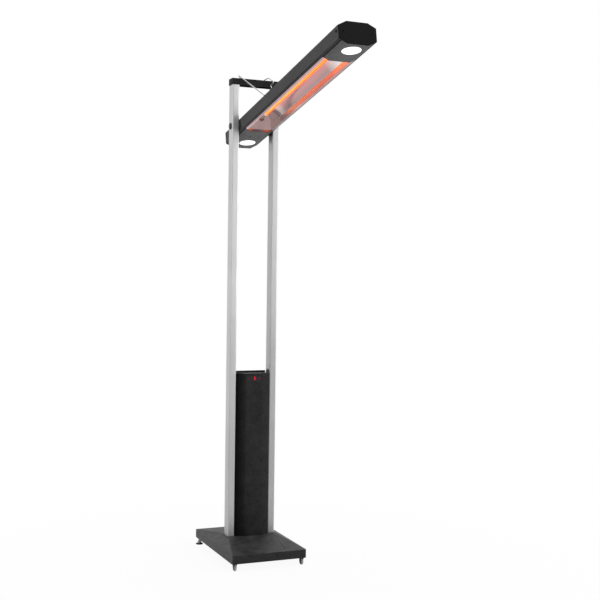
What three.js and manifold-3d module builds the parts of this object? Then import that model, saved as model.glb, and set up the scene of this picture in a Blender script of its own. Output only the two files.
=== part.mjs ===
// Infrared patio heater tower: a weighted base, two posts joined by a crossbar,
// a control column between the posts, and a heating head that folds down on a
// pivot between the posts and is held up by a wire stay hooked over the crossbar.
// Millimetres, +Z up, -Y is the front, and the floor is Z = 0.
import * as THREE from "three";
import { mergeVertices } from "three/addons/utils/BufferGeometryUtils.js";
import Module from "manifold-3d";

const wasm = await Module();
wasm.setup();

// ---------------------------------------------------------------- sizes
const towerHeight = 2100; // floor to the top of the crossbar
const clearance = 0.3; // gap wherever one piece is cut or turned to fit another
const seamGap = 0.6; // open line between two panels
const cutPast = 1; // how far a cutting shape runs past what it cuts

// base
const baseWidth = 336;
const baseDepth = 516;
const baseGroundGap = 31; // floor to the lower edge of the cover
const skirtHeight = 36;
const coverRise = 26; // from the top of the skirt to the foot of the posts
const coverTopMargin = 4; // flat of the cover around posts and column
const coverWall = 2.5;
const coverCornerRadius = 6;
const coverSeamSlant = 22; // seam on the plateau, further right than on the skirt
const ballastThickness = 12;
const ballastRaise = 2; // lower face of the ballast above the lower edge of the cover

// small wheels at the front, screw feet at the rear
const wheelInset = 16.5;
const wheelRadius = 15;
const wheelWidth = 9;
const wheelCrown = 1.6;
const wheelHubWall = 2;
const wheelTread = 4;
const axleHeadLip = 1.4;
const axleHeadThickness = 1.3;
const wheelAxleRadius = 2;
const forkWall = 1.5;
const forkPlateThickness = 1.7;
const forkSideGap = 0.8;
const forkDepth = 22;
const forkTipWall = 3;
const footInset = 14.5;
const footPadRadius = 16.5;
const footPadThickness = 4;
const footPadEdge = 0.9;
const footStemRadius = 5;
const footBellRadius = 10;
const footBellHeight = 16;
const footBellFoot = 2;
const footStemEdge = 1;
const footStemRise = 12; // stem above the ballast plate
const footNutRadius = 8.5;
const footNutThickness = 6;

// posts and crossbar
const postSpan = 219; // outer face to outer face
const postWidth = 31.5;
const postDepth = 50;
const postCornerRadius = 5;
const postWall = 2.4;
const plugHeight = 42;
const plugWall = 4;
const socketHeight = 90;
const crossbarHeight = 28;
const crossbarOverhang = 1.5; // past the outer face of each post
const crossbarWall = 2.5;
const crossbarEdge = 1.5;

// control column
const columnTop = 810;
const columnFrontReach = 44; // front face ahead of the middle of the posts
const columnFrontWidth = 78;
const columnSideReach = 26.5; // where the slanted faces meet the posts
const columnWall = 2;
const columnRimHeight = 6.5; // back plate above the top of the column
const columnLidThickness = 2.2;
const columnTabHeight = 15;
const columnTabDepth = 24;
const columnTabLean = 4;
const columnTabSetback = 6; // rear edge of a tab behind the middle of the posts
const displayWidth = 84;
const displayHeight = 36;
const displayDrop = 24; // middle of the display below the column top
const displayThickness = 1.6;
const displayLedge = 6; // rim of the pane held behind the front wall
const boardWidth = 66;
const boardHeight = 120;
const boardThickness = 1.6;
const boardStandoff = 7;
const boardStandoffRadius = 3;
const boardScrewInset = 6;
const powerUnitSize = [104, 34, 150];
const powerUnitLevel = 520;
const terminalSize = [60, 22, 26];
const terminalLevel = 200;
const switchLevel = 300;
const switchWidth = 30;
const switchHeight = 22;
const switchBezel = 3;
const switchBezelProud = 2;
const switchWall = 1.5;
const switchFloor = 2;
const switchWellGap = 3; // behind the rocker
const rockerThrow = 16; // degrees from one end pressed in to the other
const rockerReach = 9; // how deep the rocker sits behind the back plate
const rockerCrown = 2; // rocker's face ahead of its axis
const rockerThickness = 6;
const rockerSetback = 1;
const glandLevel = 130;
const glandRadius = 11;
const glandBore = 5;
const glandLength = 20;
const glandNeckLength = 12; // behind the back plate
const glandCollar = 3; // collar beyond the neck
const glandCollarLength = 6;
const glandEdge = 1.5;
const glandTip = 2.5;

// head: an octagonal extrusion, seen across it
const headTilt = 10.89; // degrees, front end up
const pivotDrop = 208; // pivot axis below the top of the crossbar
const frontCoverReach = 165; // window to the front end
const headRear = 174; // pivot to the rear end
const headLift = 2; // middle of the section above the pivot axis
const headHalfWidth = 74.5;
const headHalfHeight = 42;
const headBevelWidth = 32.5;
const headBevelHeight = 17;
const sideHoleRadius = 6; // hole through both sides near the front end
const sideHoleSetback = 21;
const sideHoleLevel = 7;
const headWall = 2.5;
const headCapThickness = 4;
const headCapEdge = 1.2;
const lipLength = 10.3; // how far the housing wraps over the lower bevel
const ledgeLength = 7; // step that carries cover plates and reflector
const ledgeThickness = 1.2;
const panelThickness = 1.5;
const coverGroove = 3; // open groove between a lip of the housing and a cover plate
const windowStart = 68; // rear edge of the window, ahead of the pivot
const windowLength = 831;
const screwChannelOffset = 55;
const screwChannelLevel = 4;
const screwChannelRadius = 4.6;
const screwChannelBore = 1.9;
const screwChannelRib = 1.8;
const channelCutback = 26; // channels are milled away this far around the pivot

// lamps
const lampRadius = 36;
const lampFlange = 3;
const lampFlangeThickness = 2;
const lampDome = 2.2;
const lampDomeRim = 4; // outer ring that the dome falls off over
const lampFromFront = 60;
const lampFromRear = 81;
const lampModuleRadius = 30;
const lampModuleHeight = 15;

// reflector and heating tube
const reflectorMouth = 55.5; // half width where the trough leaves its flange
const reflectorDepth = 62; // apex above the mouth
const reflectorMouthLevel = -31;
const reflectorWall = 1.5;
const reflectorSideHeight = 24; // flat side of the trough above its mouth
const reflectorSideLean = 7.3; // degrees, flat sides closing in upwards
const reflectorFacets = 12; // of the curved roof between the flat sides
const endWallRun = 53; // length over which an end wall climbs from mouth to apex
const endWallThickness = 1.2;
const endWallTuck = 1; // end wall's foot under the flange
const tubeLevel = 10;
const tubeRadius = 8;
const tubeWall = 1.2;
const tubeEndInset = 12; // tube end ahead of the window edge
const filamentRadius = 2.6;
const holderRadius = 11;
const holderHoleGap = 1;
const holderLength = 28;
const holderSocketWall = 4;
const holderStart = 8; // holder's outer end ahead of the window edge
const holderLegWidth = 16;
const holderLegLength = 8;
const headTerminalSize = [58, 40, 20];
const headTerminalSetback = 10;

// pivot
const pivotBoltRadius = 6;
const pivotSleeveWall = 3;
const pivotDiscRadius = 34;
const pivotBoltHeadRadius = 11;
const pivotBoltHeadThickness = 2.5;
const pivotBoltHeadEdge = 0.8;
const pivotCapRadius = 14.5;
const pivotCapWall = 1.2;
const pivotCapEdge = 1.2;
const pivotHubRadius = 15;
const pivotHubLength = 16;
const pivotHubEdge = 1.5;

// wire stay
const wireRadius = 2.5;
const stayReach = 318; // stay's own axis ahead of the pivot, along the head
const stayLevel = 31; // and above the middle of the section
const stayHalfWidth = 71;
const stayInset = 57; // where the bent ends stop inside the housing
const stayBarClearance = 1; // wire above the front edge of the crossbar
const stayHump = 19.5; // top of the wire above the crossbar
const stayHookSetback = 30; // cross wire behind the middle of the posts
const stayHookRise = 3.6; // cross wire above the top of the crossbar
const stayBend = 7;
const stayShoulder = 21; // run of a top corner, along the crossbar
const stayShoulderDrop = 6;
const kinkForward = 27; // thumb kink of the right arm, ahead of the crossbar
const kinkReturn = 3.6;
const kinkDrop = 22.5;
const kinkEndDrop = 36;
const kinkEndForward = 16;
const kinkInset = [1, 7, 5]; // kink's three corners, in from the arm

const fineSides = 28;
const smallSides = 20;
const coarseSides = 12;
const hexagon = 6;

// ------------------------------------------------------- places worked out
const postHalfSpan = postSpan / 2;
const postInner = postHalfSpan - postWidth;
const postMiddle = postHalfSpan - postWidth / 2;
const postHalfDepth = postDepth / 2;
const coverTop = baseGroundGap + skirtHeight + coverRise;
const ballastBottom = baseGroundGap + ballastRaise;
const ballastTop = ballastBottom + ballastThickness;
const crossbarBottom = towerHeight - crossbarHeight;
const columnBottom = ballastTop + clearance;
const columnHalfWidth = postInner - clearance;
const pivotHeight = towerHeight - pivotDrop;
const tiltAngle = THREE.MathUtils.degToRad(headTilt);
const windowEnd = windowStart + windowLength;
const windowMiddle = windowStart + windowLength / 2;
const headFront = windowEnd + frontCoverReach;
const lampFrontPlace = headFront - lampFromFront;
const lampRearPlace = -(headRear - lampFromRear);
const wheelX = baseWidth / 2 - wheelInset;
const wheelY = -(baseDepth / 2 - wheelInset);
const footX = baseWidth / 2 - footInset;
const footY = baseDepth / 2 - footInset;

// The origin is on the floor under the middle of the whole outline, so the
// tower is set back by half of what the head reaches past the base.
const headLowCorner = headHalfHeight - headLift - headCapEdge;
const frontReach = headFront * Math.cos(tiltAngle) + headLowCorner * Math.sin(tiltAngle);
const rearReach = Math.max(baseDepth / 2, footY + footPadRadius);
const towerSetback = (frontReach - rearReach) / 2;

// ------------------------------------------------------------- helpers
function finish(color, roughness, metalness) {
  return new THREE.MeshStandardMaterial({ color, roughness, metalness });
}

const black = () => finish(0x17181a, 0.5, 0.2);
const softBlack = () => finish(0x202124, 0.7, 0);
const charcoal = () => finish(0x55575a, 0.45, 0.6);
const anodised = () => finish(0xc9cbcd, 0.35, 0.85);
const steel = () => finish(0xb4b7ba, 0.3, 0.9);
const polished = () => finish(0xe4dedd, 0.08, 1);
const ceramic = () => finish(0xd9cdbb, 0.8, 0);
const glow = () => finish(0xff9b3d, 0.4, 0);
const lampWhite = () => finish(0xfdfdf8, 0.4, 0);
const rubberGrey = () => finish(0x9a9da0, 0.7, 0);
const boardGreen = () => finish(0x1f4a36, 0.6, 0.1);

function addPiece(group, name, geometry, material) {
  const mesh = new THREE.Mesh(geometry, material);
  mesh.name = name;
  group.add(mesh);
  return mesh;
}

function toSolid(geometry) {
  const bare = geometry.clone();
  bare.deleteAttribute("normal");
  bare.deleteAttribute("uv");
  const merged = mergeVertices(bare, 1e-3);
  const corners = merged.index.array;
  const kept = [];
  for (let i = 0; i < corners.length; i += 3) {
    const [a, b, c] = [corners[i], corners[i + 1], corners[i + 2]];
    if (a !== b && b !== c && c !== a) kept.push(a, b, c);
  }
  const vertProperties = Float32Array.from(merged.attributes.position.array);
  const triVerts = Uint32Array.from(kept);
  return new wasm.Manifold(new wasm.Mesh({ numProp: 3, vertProperties, triVerts }));
}

function toGeometry(solid) {
  const mesh = solid.getMesh();
  const geometry = new THREE.BufferGeometry();
  geometry.setAttribute("position", new THREE.BufferAttribute(mesh.vertProperties, 3));
  geometry.setIndex(new THREE.BufferAttribute(mesh.triVerts, 1));
  geometry.computeVertexNormals();
  return geometry;
}

// Joins the first list of shapes and takes the second list away from it.
function carve(bodies, cuts = []) {
  let solid = toSolid(bodies[0]);
  for (const body of bodies.slice(1)) solid = solid.add(toSolid(body));
  for (const cut of cuts) solid = solid.subtract(toSolid(cut));
  return toGeometry(solid);
}

function block(x0, x1, y0, y1, z0, z1) {
  const geometry = new THREE.BoxGeometry(x1 - x0, y1 - y0, z1 - z0);
  return geometry.translate((x0 + x1) / 2, (y0 + y1) / 2, (z0 + z1) / 2);
}

function outline(points) {
  return new THREE.Shape(points.map(([x, y]) => new THREE.Vector2(x, y)));
}

function roundedRectangle(width, height, radius) {
  const shape = new THREE.Shape();
  const [w, h] = [width / 2 - radius, height / 2 - radius];
  shape.absarc(w, h, radius, 0, Math.PI / 2);
  shape.absarc(-w, h, radius, Math.PI / 2, Math.PI);
  shape.absarc(-w, -h, radius, Math.PI, 1.5 * Math.PI);
  shape.absarc(w, -h, radius, 1.5 * Math.PI, 2 * Math.PI);
  shape.closePath();
  return shape;
}

function upright(shape, z0, z1, curveSegments = 3) {
  const options = { depth: z1 - z0, bevelEnabled: false, curveSegments };
  return new THREE.ExtrudeGeometry(shape, options).translate(0, 0, z0);
}

// A shape drawn across the head (x, level), run forward from one place to another.
function alongHead(shape, from, to, curveSegments = 6) {
  const options = { depth: to - from, bevelEnabled: false, curveSegments };
  return new THREE.ExtrudeGeometry(shape, options).rotateX(Math.PI / 2).translate(0, -from, 0);
}

// A shape drawn from the side (y, z), run across from x0 to x1.
function across(shape, x0, x1, curveSegments = 6) {
  const options = { depth: x1 - x0, bevelEnabled: false, curveSegments };
  const geometry = new THREE.ExtrudeGeometry(shape, options);
  return geometry.rotateX(Math.PI / 2).rotateZ(Math.PI / 2).translate(x0, 0, 0);
}

function turned(profile, sides = smallSides) {
  return new THREE.LatheGeometry(profile.map(([r, h]) => new THREE.Vector2(r, h)), sides);
}

// Turned pieces stand on Y; these lay the axis along Z or along X.
function turnedUpright(profile, sides) {
  return turned(profile, sides).rotateX(Math.PI / 2);
}

function turnedAcross(profile, sides) {
  return turned(profile, sides).rotateZ(-Math.PI / 2);
}

function rodAcross(radius, x0, x1, y, z, sides = smallSides) {
  const rod = new THREE.CylinderGeometry(radius, radius, x1 - x0, sides);
  return rod.rotateZ(Math.PI / 2).translate((x0 + x1) / 2, y, z);
}

function rodUpright(radius, x, y, z0, z1, sides = smallSides) {
  const rod = new THREE.CylinderGeometry(radius, radius, z1 - z0, sides);
  return rod.rotateX(Math.PI / 2).translate(x, y, (z0 + z1) / 2);
}

function rodAlong(radius, x, from, to, z, sides = smallSides) {
  const rod = new THREE.CylinderGeometry(radius, radius, to - from, sides);
  return rod.translate(x, -(from + to) / 2, z);
}

// Sheet metal section: an open line of its face, closed by a copy set off to its
// left by the thickness, with mitred corners.
function sheetSection(line, thickness) {
  const points = line.map(([x, y]) => new THREE.Vector2(x, y));
  const normal = (a, b) => new THREE.Vector2(a.y - b.y, b.x - a.x).normalize();
  const back = points.map((point, i) => {
    const before = i > 0 ? normal(points[i - 1], point) : null;
    const after = i < points.length - 1 ? normal(point, points[i + 1]) : null;
    if (!before || !after) return point.clone().addScaledVector(before ?? after, thickness);
    const mitre = before.clone().add(after);
    return point.clone().addScaledVector(mitre, (2 * thickness) / mitre.lengthSq());
  });
  return new THREE.Shape([...points, ...back.reverse()]);
}

// Solid between stacked loops that have the same number of corners.
function loft(loops) {
  const count = loops[0].length;
  const corners = loops.flat().flatMap((p) => [p.x, p.y, p.z]);
  const faces = [];
  for (let level = 0; level < loops.length - 1; level += 1) {
    for (let i = 0; i < count; i += 1) {
      const a = level * count + i;
      const b = level * count + ((i + 1) % count);
      faces.push(a, b, b + count, a, b + count, a + count);
    }
  }
  const last = (loops.length - 1) * count;
  for (let i = 1; i < count - 1; i += 1) {
    faces.push(0, i + 1, i);
    faces.push(last, last + i, last + i + 1);
  }
  const geometry = new THREE.BufferGeometry();
  geometry.setAttribute("position", new THREE.Float32BufferAttribute(corners, 3));
  geometry.setIndex(faces);
  geometry.computeVertexNormals();
  return geometry;
}

function rectangleLoop(halfWidth, halfDepth, radius, z) {
  const shape = roundedRectangle(2 * halfWidth, 2 * halfDepth, radius);
  const points = shape.getPoints(4);
  const open = points.filter((p, i) => i === 0 || p.distanceTo(points[i - 1]) > 1e-6);
  if (open[0].distanceTo(open[open.length - 1]) < 1e-6) open.pop();
  return open.map((p) => new THREE.Vector3(p.x, p.y, z));
}

function mirroredX(points) {
  return points.map(([x, y]) => [-x, y]).reverse();
}

// ----------------------------------------------------------------- base
function columnOutline(grow) {
  const side = columnHalfWidth + grow;
  const face = columnFrontWidth / 2 + grow / 2;
  return [
    [side, postHalfDepth + grow],
    [-side, postHalfDepth + grow],
    [-side, -columnSideReach - grow],
    [-face, -columnFrontReach - grow],
    [face, -columnFrontReach - grow],
    [side, -columnSideReach - grow],
  ];
}

function coverShell() {
  const topHalfWidth = postHalfSpan + coverTopMargin;
  const topHalfDepth = columnFrontReach + coverTopMargin;
  const skirtTop = baseGroundGap + skirtHeight;
  const skin = (inset, extra) => [
    rectangleLoop(baseWidth / 2 - inset, baseDepth / 2 - inset, coverCornerRadius, baseGroundGap - extra),
    rectangleLoop(baseWidth / 2 - inset, baseDepth / 2 - inset, coverCornerRadius, skirtTop - inset / 2),
    rectangleLoop(topHalfWidth - inset, topHalfDepth - inset, coverCornerRadius / 2, coverTop - inset),
  ];
  const outer = loft(skin(0, 0));
  const inner = loft(skin(coverWall, cutPast));
  const postHole = postDepth + 2 * clearance;
  const opening = block(
    -postHalfSpan - clearance, postHalfSpan + clearance,
    -postHole / 2, postHole / 2, ballastTop, coverTop + cutPast);
  const columnHole = upright(outline(columnOutline(clearance)), ballastTop, coverTop + cutPast);
  return carve([outer], [inner, opening, columnHole]);
}

// The seam runs from the plateau beside the right post, aslant down to the skirt.
function coverHalf(side) {
  const far = baseWidth;
  const foot = postInner + side * seamGap / 2;
  const head = foot + coverSeamSlant;
  const edge = baseDepth / 2;
  const bend = columnFrontReach + coverTopMargin;
  const keep = outline([
    [foot, -far], [foot, -edge], [head, -bend], [head, bend], [foot, edge], [foot, far],
    [side * far, far], [side * far, -far],
  ]);
  const panel = toSolid(upright(keep, 0, coverTop + cutPast));
  return toGeometry(toSolid(coverShell()).intersect(panel));
}

function ballastPlate() {
  const inset = coverWall + clearance;
  const shape = roundedRectangle(baseWidth - 2 * inset, baseDepth - 2 * inset, coverCornerRadius);
  const holes = [-1, 1].map((side) => rodUpright(
    footStemRadius + clearance, side * footX, footY, ballastBottom - cutPast, ballastTop + cutPast));
  return carve([upright(shape, ballastBottom, ballastTop)], holes);
}

function postSocket() {
  const inner = 2 * (postWall + clearance);
  const [width, depth] = [postWidth - inner, postDepth - inner];
  const shape = roundedRectangle(width, depth, postCornerRadius - postWall);
  shape.holes.push(roundedRectangle(width - 2 * plugWall, depth - 2 * plugWall, plugWall / 4));
  const bottom = ballastTop + clearance;
  return upright(shape, bottom, bottom + socketHeight);
}

function addBase(tower) {
  addPiece(tower, "ballast_plate", ballastPlate(), steel());
  addPiece(tower, "base_cover_left", coverHalf(-1), black());
  addPiece(tower, "base_cover_right", coverHalf(1), black());
  for (const [word, side] of [["left", -1], ["right", 1]]) {
    addPiece(tower, `post_socket_${word}`, postSocket(), steel()).position.x = side * postMiddle;
  }
}

// --------------------------------------------------------------- wheels
function casterFork() {
  const half = wheelWidth / 2 + forkSideGap;
  const top = ballastBottom - clearance;
  const plateBottom = top - forkPlateThickness;
  const cheek = new THREE.Shape();
  const tip = wheelAxleRadius + forkTipWall;
  cheek.moveTo(forkDepth / 2, plateBottom + forkPlateThickness / 2);
  cheek.lineTo(-forkDepth / 2, plateBottom + forkPlateThickness / 2);
  cheek.lineTo(-tip, wheelRadius);
  cheek.absarc(0, wheelRadius, tip, Math.PI, 2 * Math.PI);
  cheek.closePath();
  const plate = block(-half - forkWall, half + forkWall, -forkDepth / 2, forkDepth / 2, plateBottom, top);
  const cheeks = [across(cheek, half, half + forkWall), across(cheek, -half - forkWall, -half)];
  const bore = rodAcross(wheelAxleRadius + clearance, -2 * half, 2 * half, 0, wheelRadius);
  return carve([plate, ...cheeks], [bore]);
}

function casterWheel() {
  const half = wheelWidth / 2;
  const bore = wheelAxleRadius + clearance;
  const hub = bore + wheelHubWall;
  const web = half / 2;
  const rim = wheelRadius - wheelTread;
  return turnedAcross([
    [bore, -half], [hub, -half], [hub, -web], [rim, -web], [rim, -half],
    [wheelRadius - wheelCrown, -half], [wheelRadius, -half + wheelCrown],
    [wheelRadius, half - wheelCrown], [wheelRadius - wheelCrown, half],
    [rim, half], [rim, web], [hub, web], [hub, half], [bore, half], [bore, -half],
  ], smallSides);
}

function casterAxle() {
  const end = wheelWidth / 2 + forkSideGap + forkWall + clearance;
  const headRadius = wheelAxleRadius + axleHeadLip;
  const headEnd = end + axleHeadThickness;
  return turnedAcross([
    [0, -headEnd], [headRadius, -headEnd], [headRadius, -end], [wheelAxleRadius, -end],
    [wheelAxleRadius, end], [headRadius, end], [headRadius, headEnd], [0, headEnd],
  ], coarseSides);
}

function addCasters(tower) {
  for (const [word, side] of [["left", -1], ["right", 1]]) {
    const caster = new THREE.Group();
    caster.position.set(side * wheelX, wheelY, 0);
    addPiece(caster, `caster_fork_${word}`, casterFork(), softBlack());
    addPiece(caster, `caster_axle_${word}`, casterAxle(), steel()).position.z = wheelRadius;
    addPiece(caster, `caster_wheel_${word}`, casterWheel(), rubberGrey()).position.z = wheelRadius;
    tower.add(caster);
  }
}

// ----------------------------------------------------------- screw feet
function footPad() {
  return turnedUpright([
    [0, 0], [footPadRadius - footPadEdge, 0], [footPadRadius, footPadEdge],
    [footPadRadius, footPadThickness - footPadEdge],
    [footPadRadius - footPadEdge, footPadThickness], [0, footPadThickness],
  ], fineSides);
}

function footStem() {
  const bottom = footPadThickness + clearance;
  const neck = bottom + footBellHeight;
  const top = ballastTop + footStemRise;
  return turnedUpright([
    [0, bottom], [footBellRadius, bottom], [footBellRadius, bottom + footBellFoot],
    [footStemRadius, neck], [footStemRadius, top - footStemEdge],
    [footStemRadius - footStemEdge, top], [0, top],
  ], smallSides);
}

function footNut() {
  const top = ballastBottom - clearance;
  const nut = rodUpright(footNutRadius, 0, 0, top - footNutThickness, top, hexagon);
  const bottom = top - footNutThickness;
  const bore = rodUpright(footStemRadius + clearance, 0, 0, bottom - cutPast, top + cutPast);
  return carve([nut], [bore]);
}

function addFeet(tower) {
  for (const [word, side] of [["left", -1], ["right", 1]]) {
    const foot = new THREE.Group();
    foot.position.set(side * footX, footY, 0);
    addPiece(foot, `foot_pad_${word}`, footPad(), softBlack());
    addPiece(foot, `foot_stem_${word}`, footStem(), steel());
    addPiece(foot, `foot_nut_${word}`, footNut(), steel());
    tower.add(foot);
  }
}

// ---------------------------------------------------- posts and crossbar
function post() {
  const shape = roundedRectangle(postWidth, postDepth, postCornerRadius);
  const [width, depth] = [postWidth - 2 * postWall, postDepth - 2 * postWall];
  shape.holes.push(roundedRectangle(width, depth, postCornerRadius - postWall));
  const tube = upright(shape, ballastTop + clearance, crossbarBottom - clearance);
  const sleeve = pivotBoltRadius + clearance + pivotSleeveWall;
  const bore = rodAcross(sleeve + clearance, -postWidth, postWidth, 0, pivotHeight, fineSides);
  return carve([tube], [bore]);
}

function crossbar() {
  const half = postHalfDepth;
  const edge = crossbarEdge;
  const section = outline([
    [half, crossbarBottom], [half, towerHeight - edge], [half - edge, towerHeight],
    [-half + edge, towerHeight], [-half, towerHeight - edge], [-half, crossbarBottom],
  ]);
  const end = postHalfSpan + crossbarOverhang;
  const bar = across(section, -end, end);
  const inner = 2 * (postWall + clearance);
  const shape = roundedRectangle(postWidth - inner, postDepth - inner, postCornerRadius - postWall);
  const plug = upright(shape, crossbarBottom - plugHeight, crossbarBottom + crossbarWall);
  const plugs = [-1, 1].map((side) => plug.clone().translate(side * postMiddle, 0, 0));
  const channel = block(
    -postInner + crossbarWall, postInner - crossbarWall,
    -half + crossbarWall, half - crossbarWall,
    crossbarBottom - cutPast, towerHeight - crossbarWall);
  return carve([bar, ...plugs], [channel]);
}

function addPosts(tower) {
  for (const [word, side] of [["left", -1], ["right", 1]]) {
    addPiece(tower, `post_${word}`, post(), anodised()).position.x = side * postMiddle;
  }
  addPiece(tower, "crossbar", crossbar(), black());
}

// --------------------------------------------------------------- column
function columnHousing() {
  const [side, face] = [columnHalfWidth, columnFrontWidth / 2];
  const line = [
    [-side, postHalfDepth], [-side, -columnSideReach], [-face, -columnFrontReach],
    [face, -columnFrontReach], [side, -columnSideReach], [side, postHalfDepth],
  ];
  const shell = upright(sheetSection(line, columnWall), columnBottom, columnTop);
  const level = columnTop - displayDrop;
  const [halfWidth, halfHeight] = [displayWidth / 2, displayHeight / 2];
  const window = block(
    -halfWidth + displayLedge, halfWidth - displayLedge,
    -columnFrontReach - cutPast, -columnFrontReach + columnWall + cutPast,
    level - halfHeight + displayLedge, level + halfHeight - displayLedge);
  return carve([shell], [window]);
}

function displayPane() {
  const level = columnTop - displayDrop;
  const width = Math.min(displayWidth, columnFrontWidth - 2 * columnWall);
  const backFace = -columnFrontReach + columnWall + clearance;
  return block(
    -width / 2, width / 2, backFace, backFace + displayThickness,
    level - displayHeight / 2, level + displayHeight / 2);
}

function columnBack() {
  const inner = columnHalfWidth - columnWall - clearance;
  const plate = block(
    -inner, inner, postHalfDepth - columnWall, postHalfDepth,
    columnBottom, columnTop + columnRimHeight);
  const cutHalf = switchWidth / 2 - switchBezel + clearance;
  const cutHeight = switchHeight / 2 - switchBezel + clearance;
  const switchCut = block(
    -cutHalf, cutHalf, 0, postDepth, switchLevel - cutHeight, switchLevel + cutHeight);
  const glandCut = rodAlong(
    glandRadius - glandCollar + clearance, 0, -postDepth, -postHalfDepth + 2 * columnWall, glandLevel);
  return carve([plate], [switchCut, glandCut]);
}

function columnLid() {
  const inner = columnHalfWidth - columnWall - clearance;
  const line = columnOutline(-columnWall - clearance);
  line[0] = [inner, postHalfDepth - columnWall - clearance];
  line[1] = [-inner, postHalfDepth - columnWall - clearance];
  const plate = upright(outline(line), columnTop - columnLidThickness, columnTop);
  const tabs = [-1, 1].map((side) => {
    const outer = side * inner;
    const shape = outline([
      [columnTabSetback, columnTop - columnLidThickness / 2],
      [columnTabSetback - columnTabLean, columnTop + columnTabHeight],
      [columnTabSetback - columnTabDepth / 2, columnTop + columnTabHeight],
      [columnTabSetback - columnTabDepth, columnTop - columnLidThickness / 2],
    ]);
    const inside = outer - side * columnWall;
    return across(shape, Math.min(outer, inside), Math.max(outer, inside));
  });
  return carve([plate, ...tabs]);
}

function controlBoard() {
  const face = -columnFrontReach + columnWall + clearance;
  const boardFace = face + displayThickness + boardStandoff;
  const level = columnTop - displayDrop - boardHeight / 2 - displayHeight;
  const board = block(
    -boardWidth / 2, boardWidth / 2, boardFace, boardFace + boardThickness,
    level - boardHeight / 2, level + boardHeight / 2);
  const standoffs = [];
  for (const sx of [-1, 1]) {
    for (const sz of [-1, 1]) {
      const x = sx * (boardWidth / 2 - boardScrewInset);
      const z = level + sz * (boardHeight / 2 - boardScrewInset);
      const back = -boardFace - boardThickness / 2;
      standoffs.push(rodAlong(boardStandoffRadius, x, back, -face, z, coarseSides));
    }
  }
  return carve([board, ...standoffs]);
}

function onBackPlate(size, level) {
  const [width, depth, height] = size;
  const face = postHalfDepth - columnWall - clearance;
  return block(-width / 2, width / 2, face - depth, face, level - height / 2, level + height / 2);
}

function switchBezelFrame() {
  const face = postHalfDepth + clearance;
  const [halfWidth, halfHeight] = [switchWidth / 2, switchHeight / 2];
  const rim = block(
    -halfWidth, halfWidth, face, face + switchBezelProud,
    switchLevel - halfHeight, switchLevel + halfHeight);
  const [neckWidth, neckHeight] = [halfWidth - switchBezel, halfHeight - switchBezel];
  const neck = block(
    -neckWidth, neckWidth, face - rockerReach - switchWellGap - switchFloor, face + clearance,
    switchLevel - neckHeight, switchLevel + neckHeight);
  const well = block(
    -neckWidth + switchWall, neckWidth - switchWall,
    face - rockerReach - switchWellGap, face + switchBezelProud + cutPast,
    switchLevel - neckHeight + switchWall, switchLevel + neckHeight - switchWall);
  return carve([rim, neck], [well]);
}

// The rocker is drawn with its upper end pressed in; it turns about its own middle.
function rocker() {
  const halfWidth = switchWidth / 2 - switchBezel - switchWall - clearance;
  const halfHeight = switchHeight / 2 - switchBezel - switchWall - 2 * clearance;
  const lean = THREE.MathUtils.degToRad(rockerThrow / 2);
  const shoulder = rockerCrown - (halfHeight * Math.tan(lean)) / 2;
  const back = rockerCrown - rockerThickness;
  const cheek = (back + shoulder) / 2 - rockerCrown;
  const tip = halfHeight * Math.cos(lean) ** 2;
  const body = outline([
    [rockerCrown, 0], [shoulder, tip], [cheek, 0.9 * tip],
    [back, 0], [cheek, -0.9 * tip], [shoulder, -tip],
  ]);
  const key = across(body, -halfWidth, halfWidth).rotateX(-lean);
  return key.translate(0, postHalfDepth + clearance - rockerSetback, switchLevel);
}

function cableGland() {
  const face = postHalfDepth + clearance;
  const neck = glandRadius - glandCollar;
  const cap = glandRadius - glandEdge;
  const shape = [
    [glandBore, -glandNeckLength], [neck, -glandNeckLength], [neck, 0], [glandRadius, 0],
    [glandRadius, glandCollarLength], [cap, glandCollarLength + glandEdge],
    [cap, glandLength - glandCollarLength], [glandBore + glandTip, glandLength],
    [glandBore, glandLength], [glandBore, -glandNeckLength],
  ];
  return turned(shape, smallSides).translate(0, face, glandLevel);
}

function addColumn(tower) {
  addPiece(tower, "column_housing", columnHousing(), black());
  addPiece(tower, "column_back_plate", columnBack(), black());
  addPiece(tower, "column_lid", columnLid(), black());
  addPiece(tower, "display_pane", displayPane(), softBlack());
  addPiece(tower, "control_board", controlBoard(), boardGreen());
  addPiece(tower, "power_unit", onBackPlate(powerUnitSize, powerUnitLevel), steel());
  addPiece(tower, "mains_terminal", onBackPlate(terminalSize, terminalLevel), ceramic());
  addPiece(tower, "switch_bezel", switchBezelFrame(), softBlack());
  addPiece(tower, "switch_rocker", rocker(), softBlack());
  addPiece(tower, "cable_gland", cableGland(), softBlack());
}

// ------------------------------------------------------ head: housing
const bevelLength = Math.hypot(headBevelWidth, headBevelHeight);
const bevelRun = [-headBevelWidth / bevelLength, -headBevelHeight / bevelLength];
const bevelIn = [bevelRun[1], -bevelRun[0]];

// A point on the right lower bevel: so far down it, and so far inside its face.
function onBevel(along, inside) {
  return [
    headHalfWidth + along * bevelRun[0] + inside * bevelIn[0],
    -(headHalfHeight - headBevelHeight) + along * bevelRun[1] + inside * bevelIn[1],
  ];
}

function octagonLoop(inset, place) {
  const [w, h] = [headHalfWidth - inset, headHalfHeight - inset];
  const shift = inset * Math.tan(Math.atan2(headBevelHeight, headBevelWidth) / 2);
  const [bw, bh] = [w - headBevelWidth + shift, h - headBevelHeight + shift];
  const right = [[bw, -h], [w, -bh], [w, bh], [bw, h]];
  return [...right, ...mirroredX(right)].map(([x, z]) => new THREE.Vector3(x, -place, z));
}

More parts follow.
